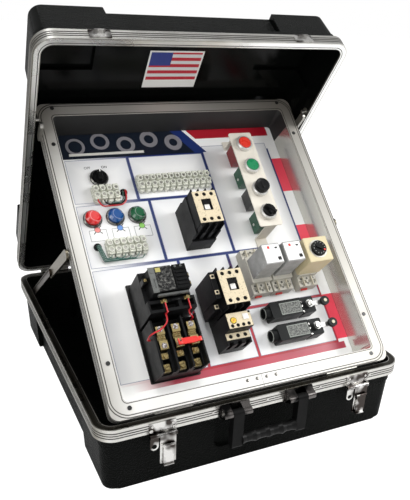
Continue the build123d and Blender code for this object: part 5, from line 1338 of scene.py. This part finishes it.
class TRAINER_OT_relays(bpy.types.Operator):
    """Tops of the plug-in relays and timer, and the sockets' screws, fins and clips"""

    bl_idname = "trainer.relays"
    bl_label = "Relays and timer"

    def execute(self, context):
        white = moulded_plastic("relay white", (0.80, 0.80, 0.78), 0.3, 0.04)
        red = moulded_plastic("relay red", (0.62, 0.03, 0.02), 0.35)
        dark = moulded_plastic("relay dark", INK, 0.25)
        self.marks("relay_tops", (31.5, 32.5, 1.0), (0.0, 0.0, -SINK), white, "white_plastic")
        self.marks("relay_flags", (4.0, 4.4, 1.0), (-5.0, 11.0, 0.9), red, "red_plastic")
        self.marks("relay_windows", (5.0, 3.0, 0.5), (9.0, 9.5, 0.9), dark, "black_plastic")
        self.marks("relay_keys", (6.2, 6.0, 0.9), (10.0, -10.0, 0.9), dark, "black_plastic")
        self.timer(red)
        self.sockets(red)
        return {"FINISHED"}

    def marks(self, name, size, shift, material, slot):
        """One block on each relay, at a shift from the middle of its cover"""
        places = [(u + shift[0], SOCKET_V + shift[1], RELAY_COVER + shift[2]) for u in RELAYS_U]
        mount(blocks(size, places), name, material)

    def timer(self, red):
        """Dial plate, ring, scale and pointer of the timer"""
        dial = [(TIMER_U, SOCKET_V)]
        face = new_box((TIMER_U, SOCKET_V, TIMER_TOP + 0.2), (44.0, 42.0, 0.5))
        bore(face, dial, 13.9, TIMER_TOP - 1.0, TIMER_TOP + 2.0, 40)
        cream = moulded_plastic("timer face", (0.60, 0.52, 0.32), 0.35, 0.06)
        mount(face, "timer_face", cream)
        ring = new_disc((TIMER_U, SOCKET_V, TIMER_TOP + 0.3), 17.0, 0.9, 48)
        bore(ring, dial, 14.0, TIMER_TOP - 1.0, TIMER_TOP + 3.0, 40)
        soften(ring, 0.3, 1)
        mount(ring, "timer_ring", metal("timer ring", (0.62, 0.60, 0.54), 0.3, metallic=0.7))
        hours = [turn * pi / 6 for turn in range(12)]
        ticks = [(TIMER_U + TICK_CIRCLE * cos(hour), SOCKET_V + TICK_CIRCLE * sin(hour)) for hour in hours]
        pale = moulded_plastic("timer marks", (0.66, 0.66, 0.62), 0.4)
        marks = blocks((1.0, 1.0, 0.25), at_height(ticks, TICK_HEIGHT), 0.1)
        mount(marks, "timer_marks", pale, "timer_dial")
        pointer = slab((TIMER_U + 8.4, SOCKET_V - 4.8, 88.0), (3.4, 3.0, 1.4))
        mount(pointer, "timer_pointer", red, "timer_dial")

    def sockets(self, red):
        """Terminal screws in both tiers of each socket, fins between them and the release clips"""
        steps = (-SOCKET_PITCH, 0.0, SOCKET_PITCH)
        rows = [(u + step, v) for u in SOCKETS_U for v in SOCKET_ROWS for step in steps]
        steel = metal("socket screws", (0.12, 0.12, 0.11), 0.35)
        heads = screws(at_height(rows, SOCKET_TIER - SINK), 1.9, 0.7)
        mount(heads, "socket_screws", steel)
        gaps = [(u + side * FIN_STEP, v) for u in SOCKETS_U for side in (-1, 1) for v in FIN_ROWS]
        beige = moulded_plastic("socket beige", (0.50, 0.46, 0.36), 0.42, 0.08)
        fins = blocks((2.2, 19.0, 3.0), at_height(gaps, SOCKET_TIER))
        mount(fins, "socket_fins", beige)
        clips = [(u - 5.0, CLIP_V, 5.0) for u in SOCKETS_U]
        mount(blocks((13.0, 2.6, 5.0), clips, 0.8), "socket_clips", red)


class TRAINER_OT_limits(bpy.types.Operator):
    """Cover plates, screws, conduit rings and roller hubs of the limit switches"""

    bl_idname = "trainer.limits"
    bl_label = "Limit switches"

    def execute(self, context):
        rim = moulded_plastic("cover rim", (0.24, 0.26, 0.235), 0.4)
        cover = cast_cover("cast cover")
        # The switch screws carry painted reflections in light and dark patches
        bright = chrome("switch screws", (0.70, 0.69, 0.66), (0.14, 0.14, 0.13), 0.35)
        cream = moulded_plastic("roller hub", (0.55, 0.50, 0.36), 0.4)
        for name, middle in LIMITS.items():
            plate = slab((LIMIT_COVER_U, middle - 1.0, 27.4), (41.0, 21.0, 0.9))
            mount(plate, f"limit_{name}_plate", rim)
            inner = slab((LIMIT_COVER_U, middle - 1.0, 28.0), (38.0, 18.0, 0.8), 0.2)
            mount(inner, f"limit_{name}_cover", cover)
            corners = [(u, middle + step) for u, step in LIMIT_SCREWS]
            mount(screws(at_height(corners, 26.9), 1.7, 1.0), f"limit_{name}_screws", bright)
            lever = f"limit_lever_{name}"
            hub = screws([(HUB_U, middle, 33.05)], 5.2, 1.4, 0.8)
            mount(hub, f"limit_{name}_hub_screw", bright, lever)
            cap = studs([(ROLLER_U, middle, 33.5)], 3.1, 0.9, 20, 0.2, 1)
            mount(cap, f"limit_{name}_roller_cap", cream, lever)
            self.port(name, middle, rim)
        return {"FINISHED"}

    def port(self, name, middle, rim):
        """Ring round the conduit opening in the switch's left end"""
        ring = new_disc((0, 0, 0), 10.6, 0.8, 32)
        bore(ring, [(0.0, 0.0)], 9.1, -1.0, 3.0, 32)
        soften(ring, 0.2, 1)
        tip(ring, radians(90), "Y")
        ring.location = (LIMIT_PORT_U, middle, PORT_HEIGHT)
        mount(ring, f"limit_{name}_port", rim)


class TRAINER_OT_operators(bpy.types.Operator):
    """Marks and caps of the panel's and the station's operators"""

    bl_idname = "trainer.operators"
    bl_label = "Operators"

    def execute(self, context):
        white = moulded_plastic("white mark", (0.75, 0.75, 0.72), 0.35)
        u, v = POWER
        self.words(u, v)
        pointer = blocks((1.8, 6.0, 0.6), [(u, v + 7.0, 15.7)], 0.2)
        mount(pointer, "power_pointer", white, "power_knob")
        end_u = STATION_U - POINTER_REACH * sin(SELECTOR_TURN)
        end_v = OPERATOR_V[3] + POINTER_REACH * cos(SELECTOR_TURN)
        pointer = blocks((1.4, 1.4, 0.5), [(end_u, end_v, 69.8)], 0.15)
        mount(pointer, "selector_pointer", white, "selector_knob")
        self.cap(OPERATOR_V[2])
        self.selector(OPERATOR_V[3])
        dots = [(99.2, OPERATOR_V[row] - 2.0, 12.0) for row in (1, 3)]
        mount(blocks((1.6, 4.0, 4.0), dots), "contact_marks", white)
        return {"FINISHED"}

    def words(self, u, v):
        """Marks of the power switch and the numbers of the terminal strip"""
        ink = moulded_plastic("black ink", (0.02, 0.02, 0.02), 0.4)
        red = moulded_plastic("red ink", (0.62, 0.04, 0.05), 0.4)
        states = lettering((("OFF", (u - 16.0, v + WORDS_UP)), ("ON", (u + 14.0, v + WORDS_UP))), 6.5)
        mount(states, "switch_marks", ink)
        middle, row, ways = TERMINALS["strip"]
        across = enumerate(ways_across(middle, ways), start=1)
        numbers = lettering([(str(number), (place, row + NUMBERS_UP)) for number, place in across], 5.0)
        mount(numbers, "strip_numbers", red)

    def cap(self, middle):
        """Round cap with a grip bar over the station's third operator"""
        black = moulded_plastic("cap black", NEAR_BLACK, 0.22, grain=0.25)
        cap = new_disc((STATION_U, middle, 60.6), 13.2, 8.6, 36)
        inset_top(cap, 2.2, -0.8)
        soften(cap, 0.7)
        mount(cap, "black_cap", black, "black_knob")
        bar = slab((STATION_U, middle, 68.9), (4.0, 14.0, 1.6), 0.5, 2)
        mount(bar, "black_cap_bar", black, "black_knob")

    def selector(self, middle):
        """Skirt and wide grip of the station's selector, turned a little to the right"""
        black = moulded_plastic("selector black", (0.008, 0.008, 0.008), 0.18)
        skirt = studs([(STATION_U, middle, 60.7)], 11.8, 2.6, 32, 0.7)
        mount(skirt, "selector_skirt", black, "selector_knob")
        grip = new_box((0, 0, 66.0), (8.4, 25.0, 8.0))
        pick_top(grip)
        bpy.ops.transform.resize(value=(0.55, 0.9, 1.0))
        bpy.ops.object.mode_set(mode="OBJECT")
        tip(grip, SELECTOR_TURN, "Z")
        soften(grip, 0.9)
        grip.location = (STATION_U, middle, 0)
        mount(grip, "selector_grip", black, "selector_knob")


class TRAINER_OT_terminals(bpy.types.Operator):
    """Round screw towers, wire entries and screws of the terminal strips"""

    bl_idname = "trainer.terminals"
    bl_label = "Terminal strips"

    def execute(self, context):
        milky = milky_plastic("tower plastic", (0.84, 0.85, 0.75))
        steel = metal("strip screws", (0.45, 0.44, 0.40), 0.3)
        for name, (middle, row, ways) in TERMINALS.items():
            spots = [(u, side) for u in ways_across(middle, ways) for side in (-1, 1)]
            towers = [(u, row + side * WAY_ROW) for u, side in spots]
            tower = new_disc((0, 0, 0), 4.9, TOWER_HEIGHT, 18)
            floor = TOWER_HEIGHT - WELL_DEPTH
            bore(tower, [(0.0, 0.0)], 3.1, floor, TOWER_HEIGHT + 1.6, 14)
            soften(tower, 0.3, 1)
            mount(copies(tower, at_height(towers, TOWER_FOOT)), f"{name}_towers", milky)
            heads = screws(at_height(towers, TOWER_FOOT + floor), 2.4, 1.0)
            mount(heads, f"{name}_screws", steel)
            entries = [(u, row + side * ENTRY_ROW, 0.3) for u, side in spots]
            mount(studs(entries, 4.6, 8.0, 14, 0.8), f"{name}_entries", milky)
        return {"FINISHED"}


class TRAINER_OT_fixings(bpy.types.Operator):
    """Screws, rivets and small plates of the tray, the base band and the latches"""

    bl_idname = "trainer.fixings"
    bl_label = "Fixings"

    def execute(self, context):
        radius = context.scene.trainer_sizes.rivet_radius
        bright = metal("rivet metal", (0.55, 0.54, 0.52), 0.22, matrix=WORLD)
        self.lip(radius)
        band = rivets([(u, BAND_RIVETS_UP, -SINK) for u in BAND_RIVETS_U], radius)
        mount(band, "band_rivets", bright, "case_base", FRONT)
        for name, middle in LATCHES_U.items():
            self.latch(name, middle, bright)
        for name, middle in LATCHES_U.items():
            ends = screws([(middle + step, 101.0, LATCH_TOP) for step in (-18.0, 18.0)], 3.0, 1.2)
            mount(ends, f"latch_screws_{name}", bright, "case_base", FRONT)
        return {"FINISHED"}

    def lip(self, radius):
        """Screws round the tray's lip, and the rivets and seam of its splice"""
        dark = metal("lip screws", (0.06, 0.06, 0.06), 0.35, matrix=TRAY)
        dull = metal("splice rivets", (0.26, 0.25, 0.23), 0.25, matrix=WORLD)
        corners = [(side * u, v, -SINK) for side in (-1, 1) for u, v in LIP_SCREWS]
        mount(screws(corners, 3.4, 1.2), "lip_screws", dark, matrix=TRAY)
        splice = rivets([(u, SPLICE_V, -SINK) for u in SPLICE_U], radius)
        mount(splice, "lip_rivets", dull, matrix=TRAY)
        mount(new_box((2.0, 12.0, 0.05), (0.5, 21.0, 0.16)), "lip_seam", dark, matrix=TRAY)

    def latch(self, name, middle, bright):
        """Rivets and pressed panel of one latch, on the plane of the case's front"""
        heads = rivets([(middle + step, 108.0, LATCH_TOP) for step in (-16.0, 16.0)], 2.2)
        mount(heads, f"latch_rivets_{name}", bright, "case_base", FRONT)
        press = slab((middle + 6.0, 59.0, LEVER_OUT), (16.0, 20.0, 0.8), inset=(2.0, -0.4))
        mount(press, f"latch_press_{name}", bright, f"latch_lever_{name}", FRONT)


class TRAINER_PT_sidebar(bpy.types.Panel):
    """Operators and settings of the trainer"""

    bl_label = "Motor controls trainer"
    bl_space_type = "VIEW_3D"
    bl_region_type = "UI"
    bl_category = "Trainer"

    def draw(self, context):
        for operator in OPERATORS:
            self.layout.operator(operator.bl_idname)
        for group in (context.scene.trainer_colours, context.scene.trainer_sizes):
            for name in group.__annotations__:
                self.layout.prop(group, name)


OPERATORS = (
    TRAINER_OT_stage,
    TRAINER_OT_case,
    TRAINER_OT_tray,
    TRAINER_OT_devices,
    TRAINER_OT_contactors,
    TRAINER_OT_overload,
    TRAINER_OT_starter,
    TRAINER_OT_relays,
    TRAINER_OT_limits,
    TRAINER_OT_operators,
    TRAINER_OT_terminals,
    TRAINER_OT_fixings,
)
CLASSES = (TrainerColours, TrainerSizes, *OPERATORS, TRAINER_PT_sidebar)


def register():
    for cls in CLASSES:
        bpy.utils.register_class(cls)
    bpy.types.Scene.trainer_colours = bpy.props.PointerProperty(type=TrainerColours)
    bpy.types.Scene.trainer_sizes = bpy.props.PointerProperty(type=TrainerSizes)


def unregister():
    del bpy.types.Scene.trainer_sizes
    del bpy.types.Scene.trainer_colours
    for cls in reversed(CLASSES):
        bpy.utils.unregister_class(cls)


def main():
    register()
    bpy.ops.trainer.stage()
    bpy.ops.trainer.case()
    bpy.ops.trainer.tray()
    bpy.ops.trainer.devices()
    bpy.ops.trainer.contactors()
    bpy.ops.trainer.overload()
    bpy.ops.trainer.starter()
    bpy.ops.trainer.relays()
    bpy.ops.trainer.limits()
    bpy.ops.trainer.operators()
    bpy.ops.trainer.terminals()
    bpy.ops.trainer.fixings()


if __name__ == "__main__":
    main()
